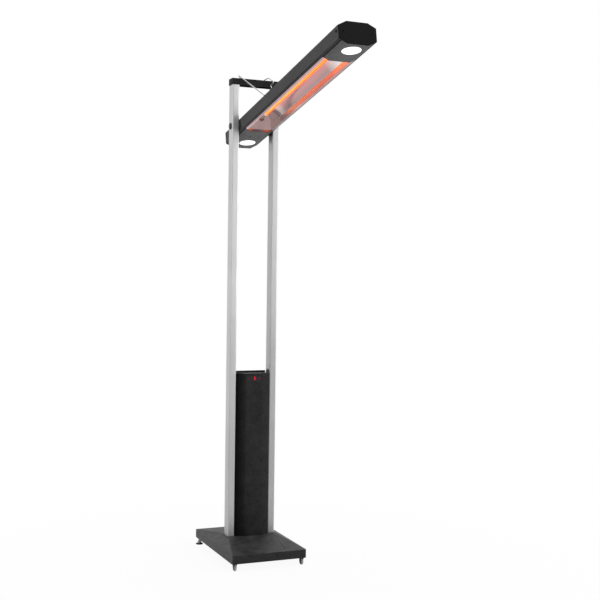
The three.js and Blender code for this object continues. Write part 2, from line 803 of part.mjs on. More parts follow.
function housingSection() {
  const [w, h] = [headHalfWidth, headHalfHeight];
  const [wi, hi] = [w - headWall, h - headWall];
  const topCorner = w - headBevelWidth;
  const sideCorner = h - headBevelHeight;
  const inset = headWall * Math.tan(Math.atan2(headBevelHeight, headBevelWidth) / 2);
  const step = panelThickness + clearance;
  const floor = step + ledgeThickness;
  const [innerX, innerZ] = onBevel(0, floor);
  const slope = headBevelHeight / headBevelWidth;
  const right = [
    [topCorner, h], [w, sideCorner], [w, -sideCorner], onBevel(lipLength, 0),
    onBevel(lipLength, step), onBevel(lipLength + ledgeLength, step),
    onBevel(lipLength + ledgeLength, floor), [wi, innerZ - (innerX - wi) * slope],
    [wi, sideCorner - inset / 2], [topCorner - inset, hi],
  ];
  return outline([...right, ...mirroredX(right)]);
}

function housing() {
  const start = -headRear + headCapThickness + clearance;
  const end = headFront - headCapThickness - clearance;
  const shell = alongHead(housingSection(), start, end);
  const inner = headHalfWidth - headWall;
  const ribs = [];
  const bores = [];
  for (const side of [-1, 1]) {
    const x = side * screwChannelOffset;
    const wall = side * (inner + headWall / 2);
    for (const [from, to] of [[start, -channelCutback], [channelCutback, end]]) {
      const z = screwChannelLevel;
      ribs.push(block(
        Math.min(x, wall), Math.max(x, wall), -to, -from,
        z - screwChannelRib / 2, z + screwChannelRib / 2));
      ribs.push(rodAlong(screwChannelRadius, x, from, to, z, coarseSides));
      bores.push(rodAlong(screwChannelBore, x, from - cutPast, to + cutPast, z, hexagon));
    }
  }
  const past = headHalfWidth + cutPast;
  const boltHole = rodAcross(pivotBoltRadius + clearance, -past, past, 0, -headLift);
  const sideHole = rodAcross(
    sideHoleRadius, inner - cutPast, past, -(headFront - sideHoleSetback), sideHoleLevel);
  const sideHoles = [sideHole, sideHole.clone().translate(-inner - headHalfWidth, 0, 0)];
  const stayHole = rodAcross(
    wireRadius + clearance, -headHalfWidth, headHalfWidth, -stayReach, stayLevel, coarseSides);
  return carve([shell, ...ribs], [...bores, boltHole, stayHole, ...sideHoles]);
}

function endCap(inner, outer) {
  const direction = Math.sign(outer - inner);
  const screws = [-1, 1].map((side) => {
    const [a, b] = [Math.min(inner, outer) - cutPast, Math.max(inner, outer) + cutPast];
    const radius = screwChannelBore + clearance;
    return rodAlong(radius, side * screwChannelOffset, a, b, screwChannelLevel, coarseSides);
  });
  const loops = [
    octagonLoop(headCapEdge / 3, inner), octagonLoop(headCapEdge / 3, outer - direction * headCapEdge),
    octagonLoop(headCapEdge, outer),
  ];
  if (direction < 0) loops.reverse();
  return carve([loft(loops)], screws);
}

// -------------------------------------------- head: covers and lamps
function panelLine(start) {
  const corner = onBevel(bevelLength, 0);
  const right = [onBevel(start, 0), corner];
  return [...right, ...mirroredX(right)].reverse();
}

function coverPlate(from, to, lampPlace) {
  const section = sheetSection(panelLine(lipLength + coverGroove), panelThickness);
  const plate = alongHead(section, from, to);
  const hole = rodUpright(lampRadius + clearance, 0, -lampPlace, -headHalfHeight - cutPast, 0, fineSides);
  return carve([plate], [hole]);
}

function lampLens() {
  const floor = -headHalfHeight + panelThickness + clearance;
  const flange = lampRadius + lampFlange;
  const dome = -headHalfHeight - lampDome;
  return turnedUpright([
    [0, dome], [lampRadius / 2, dome + lampDome / 12], [lampRadius - lampDomeRim, dome + lampDome / 3],
    [lampRadius, -headHalfHeight], [lampRadius, floor], [flange, floor],
    [flange, floor + lampFlangeThickness], [0, floor + lampFlangeThickness],
  ], fineSides);
}

function lampModule() {
  const bottom = -headHalfHeight + panelThickness + 2 * clearance + lampFlangeThickness;
  return rodUpright(lampModuleRadius, 0, 0, bottom, bottom + lampModuleHeight, smallSides);
}

// ------------------------------------- head: reflector and heating tube
const troughApex = reflectorMouthLevel + reflectorDepth;
const sideLean = THREE.MathUtils.degToRad(reflectorSideLean);
const troughShoulder = reflectorMouth - reflectorSideHeight * Math.tan(sideLean);
const troughCurve = (reflectorDepth - reflectorSideHeight) / (troughShoulder * troughShoulder);

// Two flat sides, and a parabolic roof from one to the other.
function troughLine(shrink) {
  const half = troughShoulder - shrink;
  const points = [[reflectorMouth - shrink, reflectorMouthLevel]];
  for (let i = 0; i <= reflectorFacets; i += 1) {
    const x = half * (1 - (2 * i) / reflectorFacets);
    points.push([x, troughApex - shrink - troughCurve * x * x]);
  }
  return [...points, [shrink - reflectorMouth, reflectorMouthLevel]];
}

// The side view of everything behind an end wall, set off towards the pivot: the
// wall stands upright to the mouth of the trough and slopes away from there.
function behindEndWall(offset) {
  const low = -headHalfHeight - headRear;
  const slope = endWallRun / reflectorDepth;
  const foot = windowStart + clearance - offset;
  const shape = outline([
    [-foot, low], [-foot, reflectorMouthLevel],
    [-(foot + slope * (headHalfHeight - reflectorMouthLevel)), headHalfHeight],
    [headRear, headHalfHeight], [headRear, low],
  ]);
  return across(shape, -headHalfWidth, headHalfWidth);
}

function turnedEndForEnd(geometry) {
  return geometry.clone().translate(0, windowMiddle, 0).rotateZ(Math.PI).translate(0, -windowMiddle, 0);
}

function reflector() {
  const mouthCorner = onBevel((headHalfWidth - reflectorMouth - seamGap) / -bevelRun[0], 0);
  const flange = [onBevel(lipLength + seamGap, 0), mouthCorner];
  const line = [...flange, ...troughLine(0), ...mirroredX(flange)];
  const section = sheetSection(line.reverse(), reflectorWall);
  const sheet = alongHead(section, windowStart + clearance, windowEnd - clearance);
  const cut = behindEndWall(endWallThickness + clearance);
  return carve([sheet], [cut, turnedEndForEnd(cut)]);
}

function reflectorEnd() {
  const floor = panelThickness + clearance;
  const corner = onBevel(bevelLength, floor);
  const edge = onBevel((headHalfWidth - reflectorMouth) / -bevelRun[0] + endWallTuck, floor);
  const bottom = [edge, corner, ...mirroredX([edge, corner])];
  const inside = outline([...bottom.reverse(), ...troughLine(clearance)].reverse());
  const prism = toSolid(alongHead(inside, windowStart - cutPast, windowMiddle));
  const front = toSolid(behindEndWall(0));
  const rear = toSolid(behindEndWall(endWallThickness));
  const hole = rodAlong(holderRadius + holderHoleGap, 0, 0, windowMiddle, tubeLevel, fineSides);
  return toGeometry(prism.intersect(front).subtract(rear).subtract(toSolid(hole)));
}

function quartzTube() {
  const [from, to] = [windowStart + tubeEndInset, windowEnd - tubeEndInset];
  const [outer, inner] = [tubeRadius, tubeRadius - tubeWall];
  const profile = [[inner, from], [outer, from], [outer, to], [inner, to], [inner, from]];
  return turned(profile, smallSides).rotateX(Math.PI).translate(0, 0, tubeLevel);
}

function filament() {
  const [from, to] = [windowStart + tubeEndInset, windowEnd - tubeEndInset];
  return rodAlong(filamentRadius, 0, from, to, tubeLevel, coarseSides);
}

function tubeHolder() {
  const start = windowStart + holderStart;
  const end = start + holderLength;
  const socket = windowStart + tubeEndInset - clearance;
  const collar = rodAlong(holderRadius, 0, start, end, tubeLevel, fineSides);
  const bore = rodAlong(tubeRadius + clearance, 0, socket, end + cutPast, tubeLevel, smallSides);
  const ceiling = headHalfHeight - headWall - clearance;
  const leg = block(
    -holderLegWidth / 2, holderLegWidth / 2, -start - holderLegLength, -start,
    tubeLevel + holderRadius - holderSocketWall, ceiling);
  return carve([collar, leg], [bore]);
}

function headTerminal() {
  const [width, length, height] = headTerminalSize;
  const ceiling = headHalfHeight - headWall - clearance;
  return block(
    -width / 2, width / 2, headTerminalSetback, headTerminalSetback + length,
    ceiling - height, ceiling);
}

function addHead(tilted) {
  const section = new THREE.Group();
  section.position.z = headLift;
  tilted.add(section);
  const bodyEnd = headFront - headCapThickness;
  const bodyStart = -headRear + headCapThickness;
  addPiece(section, "head_housing", housing(), charcoal());
  addPiece(section, "end_cap_front", endCap(bodyEnd, headFront), black());
  addPiece(section, "end_cap_rear", endCap(bodyStart, -headRear), black());
  const coverStart = bodyStart + clearance;
  const coverEnd = bodyEnd - clearance;
  const rearCover = coverPlate(coverStart, windowStart, lampRearPlace);
  const frontCover = coverPlate(windowEnd, coverEnd, lampFrontPlace);
  addPiece(section, "cover_plate_rear", rearCover, charcoal());
  addPiece(section, "cover_plate_front", frontCover, charcoal());
  for (const [word, place] of [["front", lampFrontPlace], ["rear", lampRearPlace]]) {
    addPiece(section, `lamp_lens_${word}`, lampLens(), lampWhite()).position.y = -place;
    addPiece(section, `lamp_module_${word}`, lampModule(), steel()).position.y = -place;
  }
  addPiece(section, "reflector", reflector(), polished());
  const end = reflectorEnd();
  addPiece(section, "reflector_end_rear", end, polished());
  addPiece(section, "reflector_end_front", turnedEndForEnd(end), polished());
  addPiece(section, "quartz_tube", quartzTube(), glow());
  addPiece(section, "filament", filament(), glow());
  const holder = tubeHolder();
  addPiece(section, "tube_holder_rear", holder, ceramic());
  addPiece(section, "tube_holder_front", turnedEndForEnd(holder), ceramic());
  addPiece(section, "head_terminal", headTerminal(), ceramic());
}

// ---------------------------------------------------------------- pivot
function pivotBush() {
  const bore = pivotBoltRadius + clearance;
  const sleeve = bore + pivotSleeveWall;
  const discStart = headHalfWidth + clearance;
  const discEnd = postInner - clearance;
  return turnedAcross([
    [bore, discStart], [pivotDiscRadius, discStart], [pivotDiscRadius, discEnd],
    [sleeve, discEnd], [sleeve, postHalfSpan - clearance], [bore, postHalfSpan - clearance],
    [bore, discStart],
  ], fineSides);
}

function pivotBolt() {
  const inner = headHalfWidth - headWall - pivotHubLength;
  const headStart = postHalfSpan + clearance;
  const headEnd = headStart + pivotBoltHeadThickness;
  return turnedAcross([
    [0, inner], [pivotBoltRadius, inner], [pivotBoltRadius, headStart],
    [pivotBoltHeadRadius, headStart], [pivotBoltHeadRadius, headEnd - pivotBoltHeadEdge],
    [pivotBoltHeadRadius - pivotBoltHeadEdge, headEnd], [0, headEnd],
  ], fineSides);
}

function pivotCap() {
  const start = postHalfSpan + clearance;
  const well = pivotBoltHeadRadius + clearance;
  const roof = start + pivotBoltHeadThickness + clearance;
  const end = roof + pivotCapWall;
  return turnedAcross([
    [0, roof], [well, roof], [well, start], [pivotCapRadius, start],
    [pivotCapRadius, end - pivotCapEdge], [pivotCapRadius - pivotCapEdge, end], [0, end],
  ], fineSides);
}

function pivotHub() {
  const end = headHalfWidth - headWall - clearance;
  const start = headHalfWidth - headWall - pivotHubLength;
  const bore = pivotBoltRadius + clearance;
  return turnedAcross([
    [bore, start], [pivotHubRadius - pivotHubEdge, start], [pivotHubRadius, start + pivotHubEdge],
    [pivotHubRadius, end], [bore, end], [bore, start],
  ], fineSides);
}

function addPivot(pivot, tilted) {
  for (const [word, turn] of [["left", Math.PI], ["right", 0]]) {
    addPiece(pivot, `pivot_bush_${word}`, pivotBush(), softBlack()).rotation.z = turn;
    addPiece(tilted, `pivot_bolt_${word}`, pivotBolt(), steel()).rotation.z = turn;
    addPiece(tilted, `pivot_cap_${word}`, pivotCap(), softBlack()).rotation.z = turn;
    addPiece(tilted, `pivot_hub_${word}`, pivotHub(), steel()).rotation.z = turn;
  }
}

// ------------------------------------------------------------ wire stay
function headPoint(x, along, level) {
  const rise = level + headLift;
  return new THREE.Vector3(
    x,
    -along * Math.cos(tiltAngle) + rise * Math.sin(tiltAngle),
    pivotHeight + along * Math.sin(tiltAngle) + rise * Math.cos(tiltAngle));
}

// A wire through the given corners, each one rounded by its bend radius.
function bentWire(corners, bend) {
  const path = new THREE.CurvePath();
  let from = corners[0];
  for (let i = 1; i < corners.length - 1; i += 1) {
    const corner = corners[i];
    const back = corners[i - 1].clone().sub(corner);
    const ahead = corners[i + 1].clone().sub(corner);
    const reach = Math.min(bend, back.length() / 2.2, ahead.length() / 2.2);
    const enter = corner.clone().addScaledVector(back.normalize(), reach);
    const leave = corner.clone().addScaledVector(ahead.normalize(), reach);
    path.add(new THREE.LineCurve3(from, enter));
    path.add(new THREE.QuadraticBezierCurve3(enter, corner, leave));
    from = leave;
  }
  path.add(new THREE.LineCurve3(from, corners[corners.length - 1]));
  return path;
}

// A round bar along a run of points; each ring is carried on from the one before.
function sweep(points, radius, sides) {
  const ahead = (i) => points[Math.min(i + 1, points.length - 1)].clone()
    .sub(points[Math.max(i - 1, 0)]).normalize();
  const turn = new THREE.Quaternion();
  let across = new THREE.Vector3(0, 0, 1);
  let before = ahead(0);
  const loops = points.map((point, i) => {
    const along = ahead(i);
    turn.setFromUnitVectors(before, along);
    across = across.applyQuaternion(turn);
    across.addScaledVector(along, -across.dot(along)).normalize();
    const third = along.clone().cross(across);
    before = along;
    return Array.from({ length: sides }, (_, k) => {
      const angle = (2 * Math.PI * k) / sides;
      return point.clone().addScaledVector(across, radius * Math.cos(angle))
        .addScaledVector(third, radius * Math.sin(angle));
    });
  });
  return loft(loops);
}

function wireStay() {
  const eye = headPoint(stayHalfWidth, stayReach, stayLevel);
  const barFront = -postHalfDepth;
  const overBar = towerHeight + wireRadius + stayBarClearance;
  const slope = (overBar - eye.z) / (barFront - eye.y);
  const onArm = (y) => new THREE.Vector3(0, y, eye.z + slope * (y - eye.y));
  const humpY = barFront + (towerHeight + stayHump - overBar) / slope;
  const hookZ = towerHeight + stayHookRise;
  const side = (point, x) => new THREE.Vector3(x, point.y, point.z);
  const hump = onArm(humpY);
  const shoulder = new THREE.Vector3(0, stayHookSetback, hump.z - stayShoulderDrop);
  const hook = new THREE.Vector3(0, stayHookSetback, hookZ);
  const w = stayHalfWidth;
  const hookRun = 1.4 * stayShoulder;
  const left = [
    side(eye, -stayInset), side(eye, -w), side(hump, -w),
    side(shoulder, -w + stayShoulder / 2), side(hook, -w + hookRun),
  ];
  const kinkTop = onArm(barFront - kinkForward);
  const kinkBack = new THREE.Vector3(0, barFront - kinkReturn, overBar - kinkDrop - wireRadius);
  const kinkLow = new THREE.Vector3(0, barFront - kinkEndForward, overBar - kinkEndDrop - wireRadius);
  const right = [
    side(hook, w - hookRun), side(shoulder, w - stayShoulder / 2), side(hump, w),
    side(kinkTop, w - kinkInset[0]), side(kinkBack, w - kinkInset[1]),
    side(kinkLow, w - kinkInset[2]), side(eye, w), side(eye, stayInset),
  ];
  return sweep(bentWire([...left, ...right], stayBend).getPoints(4), wireRadius, 8);
}

// ------------------------------------------------------------- assembly
const tower = new THREE.Group();
tower.position.y = towerSetback;
addBase(tower);
addCasters(tower);
addFeet(tower);
addPosts(tower);
addColumn(tower);

const pivot = new THREE.Group();
pivot.position.z = pivotHeight;
const tilted = new THREE.Group();
tilted.rotation.x = -tiltAngle;
pivot.add(tilted);
addPivot(pivot, tilted);
addHead(tilted);
tower.add(pivot);
addPiece(tower, "wire_stay", wireStay(), steel());

const group = new THREE.Group();
group.add(tower);

export default group;
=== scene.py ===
"""Looks of a free-standing infrared patio heater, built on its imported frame."""

import math

import bmesh
import bpy
from bpy.props import FloatProperty, FloatVectorProperty, IntProperty, PointerProperty
from mathutils import Matrix, Vector


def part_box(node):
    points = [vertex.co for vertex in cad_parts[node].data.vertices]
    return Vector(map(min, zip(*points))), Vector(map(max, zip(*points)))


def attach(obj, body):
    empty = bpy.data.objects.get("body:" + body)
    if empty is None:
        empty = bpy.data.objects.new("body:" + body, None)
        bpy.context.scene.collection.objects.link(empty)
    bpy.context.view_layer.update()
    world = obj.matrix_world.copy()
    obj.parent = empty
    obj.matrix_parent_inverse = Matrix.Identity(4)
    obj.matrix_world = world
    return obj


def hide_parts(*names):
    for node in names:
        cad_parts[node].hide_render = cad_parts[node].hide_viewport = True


bl_info = {
    "name": "Patio heater looks",
    "version": (1, 0, 0),
    "blender": (4, 5, 0),
    "location": "3D View > Sidebar > Heater",
    "description": "Finishes, rounded pieces and fittings of a folding infrared patio heater",
    "category": "Object",
}

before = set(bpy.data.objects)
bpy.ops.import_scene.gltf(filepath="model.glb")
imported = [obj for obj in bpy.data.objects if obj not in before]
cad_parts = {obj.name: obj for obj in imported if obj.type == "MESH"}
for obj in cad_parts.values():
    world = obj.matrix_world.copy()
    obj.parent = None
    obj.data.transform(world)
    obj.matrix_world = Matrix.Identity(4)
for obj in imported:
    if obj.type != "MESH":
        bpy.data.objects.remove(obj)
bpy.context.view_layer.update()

MM = 0.001
UP = Vector((0, 0, 1))
SIDES = ("left", "right")
ENDS = ("front", "rear")

# ---- places on the frame


def middle(node):
    low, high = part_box(node)
    return (low + high) / 2


TOWER_Y = middle("post_left").y
PIVOT_Z = 1892 * MM
TILT = math.radians(10.89)
HEAD_LIFT = 2 * MM
HEAD_HALF_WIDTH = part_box("head_housing")[1].x
HEAD_HALF_HEIGHT = 42 * MM
BEVEL_LEVEL = 25 * MM
BEVEL_RISE = Vector((32.5, 17)).normalized()  # along the lower right bevel, outward
HEAD_FRONT = 1064 * MM
HEAD_REAR = 174 * MM
WINDOW = (68 * MM, 899 * MM)
TUBE_LEVEL = 10 * MM
COLD_END = 82 * MM  # from the window's end to where the coil glows
GLOW = (WINDOW[0] + COLD_END, WINDOW[1] - COLD_END)

HEAD = (
    Matrix.Translation((0, TOWER_Y, PIVOT_Z))
    @ Matrix.Rotation(-TILT, 4, "X")
    @ Matrix.Translation((0, 0, HEAD_LIFT))
)


def on_head(x, along, level):
    """A point of the head: across it, ahead of the pivot, above its middle."""
    return HEAD @ Vector((x, -along, level))


GLOW_MIDDLE = on_head(0, sum(GLOW) / 2, TUBE_LEVEL)
GLOW_HALF = (GLOW[1] - GLOW[0]) / 2 * math.cos(TILT)

CAMERA_PLACE = Vector((-1.63786, TOWER_Y - 4.45246, 1.23214))
CAMERA_YAW, CAMERA_PITCH, CAMERA_ROLL = 0.3974, -0.0207, 0.0131  # radians
CAMERA_WAY = Vector((math.sin(CAMERA_YAW), math.cos(CAMERA_YAW), 0))  # level, towards the tower
FOCAL_PIXELS, PICTURE_PIXELS = 1069.14, 600
SENSOR_WIDTH = 36

# ---- settings


def length(name, description, default, least=0.0):
    return FloatProperty(
        name=name, description=description, default=default, min=least, unit="LENGTH"
    )


def colour(name, description, default):
    return FloatVectorProperty(name=name, description=description, default=default, subtype="COLOR")


def brightness(name, description, default):
    return FloatProperty(name=name, description=description, default=default, min=0)


class HeaterSizes(bpy.types.PropertyGroup):
    edge_round: length("Edge rounding", "Radius on the edges of the end caps", 0.7 * MM)
    screw_radius: length("Screw head radius", "Radius of the pan heads on the end caps", 3.6 * MM)
    coil_radius: length("Coil radius", "Radius of the heating coil in the quartz tube", 2.7 * MM)
    coil_pitch: length("Coil pitch", "Distance from one turn of the coil to the next", 2.2 * MM, 0.5 * MM)
    coil_wire: length("Coil wire radius", "Radius of the wire that the coil is wound from", 0.7 * MM)
    trough_facets: IntProperty(
        name="Trough facets",
        description="Strips that the curve of the reflector is made of",
        default=72,
        min=8,
    )


class HeaterColours(bpy.types.PropertyGroup):
    powder: colour("Powder coat", "Colour of base, column and crossbar", (0.027, 0.027, 0.0275))
    housing: colour("Head housing", "Colour of the head's extrusion", (0.121, 0.121, 0.1215))
    anodised: colour("Posts", "Colour of the anodised posts", (0.67, 0.67, 0.672))
    glow: colour("Coil glow", "Colour of the glowing heating coil", (1.0, 0.88, 0.04))
    glow_strength: brightness("Coil strength", "Brightness of the glowing heating coil", 1.1)
    lamp_strength: brightness("Lamp strength", "Brightness of the two round lamps", 1.1)


def colours():
    return bpy.context.scene.heater_colours


def sizes():
    return bpy.context.scene.heater_sizes


# ---- finish builder


class Nodes:
    """Adds nodes to a tree; an input is a plain value or another node's socket."""

    def __init__(self, tree):
        self.tree = tree

    def node(self, kind, inputs=None, **fields):
        made = self.tree.nodes.new(kind)
        for key, value in fields.items():
            setattr(made, key, value)
        for key, value in (inputs or {}).items():
            if isinstance(value, bpy.types.NodeSocket):
                self.tree.links.new(value, made.inputs[key])
            else:
                made.inputs[key].default_value = value
        return made

    def between(self, value, low, high, start=0.0, end=1.0):
        """value from start..end, spread over low..high."""
        keys = {"Value": value, "From Min": start, "From Max": end, "To Min": low, "To Max": high}
        return self.node("ShaderNodeMapRange", keys, clamp=True).outputs[0]

    def calc(self, operation, a, b=0.0):
        return self.node("ShaderNodeMath", {0: a, 1: b}, operation=operation).outputs[0]

    def plus(self, a, b):
        return self.calc("ADD", a, b)

    def times(self, a, b):
        return self.calc("MULTIPLY", a, b)

    def larger(self, a, b):
        return self.calc("MAXIMUM", a, b)

    def dot(self, a, b):
        made = self.node("ShaderNodeVectorMath", {0: a, 1: b}, operation="DOT_PRODUCT")
        return made.outputs["Value"]


class Finish(Nodes):
    """A node material put together one node at a time."""

    def __init__(self, name, **values):
        self.material = bpy.data.materials.new(name)
        self.material.use_nodes = True
        super().__init__(self.material.node_tree)
        self.tree.nodes.clear()
        self.shader = self.node("ShaderNodeBsdfPrincipled")
        self.output = self.node("ShaderNodeOutputMaterial", {0: self.shader.outputs[0]})
        self.place = self.node("ShaderNodeTexCoord").outputs["Object"]
        for key, value in values.items():
            self.set(key.replace("_", " "), value)

    def set(self, socket, value):
        target = next(s for s in self.shader.inputs if s.name.lower() == socket.lower())
        if isinstance(value, bpy.types.NodeSocket):
            self.tree.links.new(value, target)
        elif target.type == "RGBA":
            target.default_value = (*value[:3], 1)
        else:
            target.default_value = value

    def done(self, shade, rough=None, normal=None):
        """Sets what most finishes vary, and gives the material."""
        for socket, value in (("Base color", shade), ("Roughness", rough), ("Normal", normal)):
            if value is not None:
                self.set(socket, value)
        return self.material

    def noise(self, scale, detail=3.0, roughness=0.5, vector=None):
        inputs = {"Scale": scale, "Detail": detail, "Roughness": roughness}
        inputs["Vector"] = vector or self.place
        return self.node("ShaderNodeTexNoise", inputs).outputs[0]

    def lines(self, scale, detail=3.0, roughness=0.6, turn=(0, 0, 0)):
        """Noise drawn out into lines, of its own fineness along each axis."""
        inputs = {"Vector": self.place, "Scale": scale, "Rotation": turn}
        return self.noise(1, detail, roughness, self.node("ShaderNodeMapping", inputs).outputs[0])

    def spots(self, scale):
        inputs = {"Scale": scale, "Vector": self.place}
        return self.node("ShaderNodeTexVoronoi", inputs).outputs["Distance"]

    def spread(self, value, low, high):
        """low..high over the middle of a noise."""
        return self.between(value, low, high, 0.3, 0.7)

    def blend(self, amount, a, b):
        a, b = (c if isinstance(c, bpy.types.NodeSocket) else (*c[:3], 1) for c in (a, b))
        return self.node("ShaderNodeMix", {0: amount, 6: a, 7: b}, data_type="RGBA").outputs[2]

    def toned(self, value, dark, light, start=0.35, end=0.65):
        """dark to light as value goes from start to end."""
        return self.blend(self.between(value, 0, 1, start, end), dark, light)

    def scaled(self, shade, factor):
        return self.node("ShaderNodeVectorMath", {0: shade, "Scale": factor}, operation="SCALE").outputs[0]

    def axis(self, name, vector=None):
        return self.node("ShaderNodeSeparateXYZ", {0: vector or self.place}).outputs[name]

    def facing(self, name):
        """How far a face is turned to an axis."""
        return self.axis(name, self.node("ShaderNodeNewGeometry").outputs["Normal"])

    def off_middle(self, name, centre=0.0):
        """How far a point lies from centre along an axis, either way."""
        return self.calc("ABSOLUTE", self.plus(self.axis(name), -centre))

    def head_level(self):
        """How far a point lies above the middle of the head's section."""
        up = HEAD.to_3x3() @ UP
        return self.plus(self.dot(self.place, up), -up.dot(HEAD.translation))

    def below_skin(self):
        """How deep a point lies under the eight outer faces of the head."""
        x = self.off_middle("X")
        z = self.calc("ABSOLUTE", self.head_level())
        across, down = BEVEL_RISE.y, BEVEL_RISE.x
        slant = self.plus(self.times(x, across), self.times(z, down))
        under_bevel = self.calc("SUBTRACT", HEAD_HALF_WIDTH * across + BEVEL_LEVEL * down, slant)
        under_side = self.calc("SUBTRACT", HEAD_HALF_WIDTH, x)
        under_top = self.calc("SUBTRACT", HEAD_HALF_HEIGHT, z)
        return self.calc("MINIMUM", self.calc("MINIMUM", under_side, under_top), under_bevel)

    def bump(self, height, strength, distance, under=None):
        inputs = {"Height": height, "Strength": strength, "Distance": distance}
        if under is not None:
            inputs["Normal"] = under
        return self.node("ShaderNodeBump", inputs).outputs[0]


def tint(shade, factor):
    return tuple(min(1, c * factor) for c in shade)


made_once = {}


def once(maker):
    """What maker makes; it is made when the first piece asks for it."""
    if maker not in made_once:
        made_once[maker] = maker()
    return made_once[maker]


# ---- finishes

ALONG_HEAD = (TILT, 0, 0)


def black_coat(name, base, gloss, left_shading_share, left_from, shadow_share=1.0, skirt_shading_share=1.0):
    """Textured satin black powder coat: orange peel, fine grain, dust on top faces.
    Painted shading: faces turned to the left beyond left_from take a given share of the colour, above one
    for painted light and below one for painted shade; faces turned fully left take a further share, and the
    left half of the top a share below one, a painted shadow."""
    f = Finish(name, specular_ior_level=gloss)
    speckle = f.noise(900, 2, 0.6)
    peel = f.noise(170, 4, 0.7)
    cloud = f.noise(22, 5, 0.7)
    aside, upward = f.facing("X"), f.facing("Z")
    shade = f.toned(peel, tint(base, 0.72), tint(base, 1.4), 0.38, 0.62)
    shade = f.blend(f.between(cloud, 0, 0.5, 0.4, 0.65), shade, tint(base, 1.8))
    dust = f.times(f.between(upward, 0, 0.3, 0.55, 1), f.between(cloud, 0.1, 1, 0.35, 0.65))
    shade = f.blend(dust, shade, (0.17, 0.168, 0.162))
    # painted light and shade on faces turned to the left
    left = f.between(aside, left_shading_share, 1, -left_from, 0.28 - left_from)
    left = f.times(left, f.between(aside, skirt_shading_share, 1, -0.95, -0.6))
    # painted shadow on the left half of the faces turned up
    across = f.between(f.axis("X"), shadow_share, 1, -60 * MM, 130 * MM)
    across = f.larger(across, f.between(upward, 1, 0, 0.2, 0.6))
    rough = f.plus(f.between(peel, 0.42, 0.6, 0.4, 0.6), f.spread(cloud, -0.04, 0.06))
    relief = f.bump(speckle, 0.2, 0.2 * MM, f.bump(peel, 0.4, 0.7 * MM))
    return f.done(f.scaled(shade, f.times(left, across)), rough, relief)


def powder_coat():
    return black_coat("powder_coat", colours().powder, 0.04, 1.0, 0.9)


def base_coat():
    """The base has painted light on its faces turned left, strongest on the left skirt, and a painted
    shadow on the left half of its top.
    """
    return black_coat("base_coat", tint(colours().powder, 0.93), 0.16, 2.25, 0.3, 0.74, 1.65)


def column_coat():
    """The column has painted shade on its left facet."""
    return black_coat("column_coat", tint(colours().powder, 1.08), 0.04, 0.18, 0.4)


def satin_coat():
    """Smoother black coat of the column's lid."""
    base = colours().powder
    f = Finish("satin_coat", specular_ior_level=0.8)
    peel = f.noise(160, 3, 0.5)
    shade = f.toned(peel, tint(base, 0.9), tint(base, 1.3))
    return f.done(shade, f.spread(peel, 0.1, 0.14), f.bump(peel, 0.01, 0.1 * MM))


def grey_coat(name, base, underside_shade_share):
    """Grainy coat, drawn along the extrusion, with painted shade: near black in the grooves below the outer
    skin, a given share of the colour on faces turned down, least on the lower right bevel."""
    f = Finish(name, specular_ior_level=0.03)
    drawn = f.lines((700, 9, 700), turn=ALONG_HEAD)
    grain = f.noise(190, 3, 0.7)
    speckle = f.noise(1100, 2, 0.6)
    aside, upward = f.facing("X"), f.facing("Z")
    shade = f.toned(grain, tint(base, 0.72), tint(base, 1.3), 0.4, 0.6)
    shade = f.blend(f.between(f.noise(6), 0, 0.3, 0.35, 0.65), shade, tint(base, 1.4))
    # painted shade on the faces turned down
    shade = f.scaled(shade, f.between(upward, underside_shade_share, 1, -0.8, -0.3))
    # painted shade on the lower right bevel
    shade = f.scaled(shade, f.between(f.times(aside, upward), 0.74, 1, -0.32, -0.12))
    # painted shade: near black in the grooves below the outer skin
    inside = f.between(f.below_skin(), 0, 1, 0.15 * MM, 0.5 * MM)
    rough = f.plus(f.between(grain, 0.4, 0.6, 0.4, 0.6), f.spread(drawn, -0.04, 0.05))
    relief = f.bump(drawn, 0.15, 0.08 * MM, f.bump(grain, 0.5, 0.8 * MM))
    relief = f.bump(speckle, 0.2, 0.18 * MM, relief)
    return f.done(f.blend(inside, shade, (0.003, 0.003, 0.003)), rough, relief)


def housing_coat():
    """Dark grey coat of the head, with painted shade on its faces turned down."""
    return grey_coat("housing_coat", colours().housing, 0.43)


def cover_coat():
    """The plates under the head are a shade lighter."""
    return grey_coat("cover_coat", tint(colours().housing, 1.14), 1.0)


def anodised_aluminium():
    """Satin anodised posts with faint die lines up their length; painted light makes them darker towards
    the floor and brighter on the left post, and painted shade darkens their side faces."""
    base = colours().anodised
    f = Finish("anodised_aluminium", metallic=1.0, anisotropic=0.35)
    die = f.lines((520, 520, 2.2))
    fine = f.lines((2600, 2600, 30), 2)
    shade = f.toned(f.noise(3), tint(base, 0.95), tint(base, 1.05), 0.3, 0.7)
    # painted light: darker towards the floor, brighter on the left post
    painted_light = f.between(f.axis("Z"), 0.77, 1.06, 0.4, 1.25)
    painted_light = f.times(painted_light, f.between(f.axis("X"), 1.2, 1, -10 * MM, 10 * MM))
    # painted shade on the faces turned sideways
    sides = f.between(f.calc("ABSOLUTE", f.facing("X")), 1, 0.9, 0.6, 0.95)
    rough = f.plus(f.spread(die, 0.4, 0.5), f.spread(fine, -0.03, 0.03))
    relief = f.bump(die, 0.05, 0.05 * MM, f.bump(fine, 0.06, 0.02 * MM))
    return f.done(f.scaled(shade, f.times(painted_light, sides)), rough, relief)


def moulded_black():
    """Spark-eroded grain of black mouldings."""
    f = Finish("moulded_black")
    grain = f.noise(1400, 2, 0.55)
    shade = f.toned(f.noise(9), (0.012, 0.012, 0.013), (0.019, 0.019, 0.02), 0.3, 0.7)
    return f.done(shade, f.spread(grain, 0.42, 0.6), f.bump(grain, 0.25, 0.12 * MM))


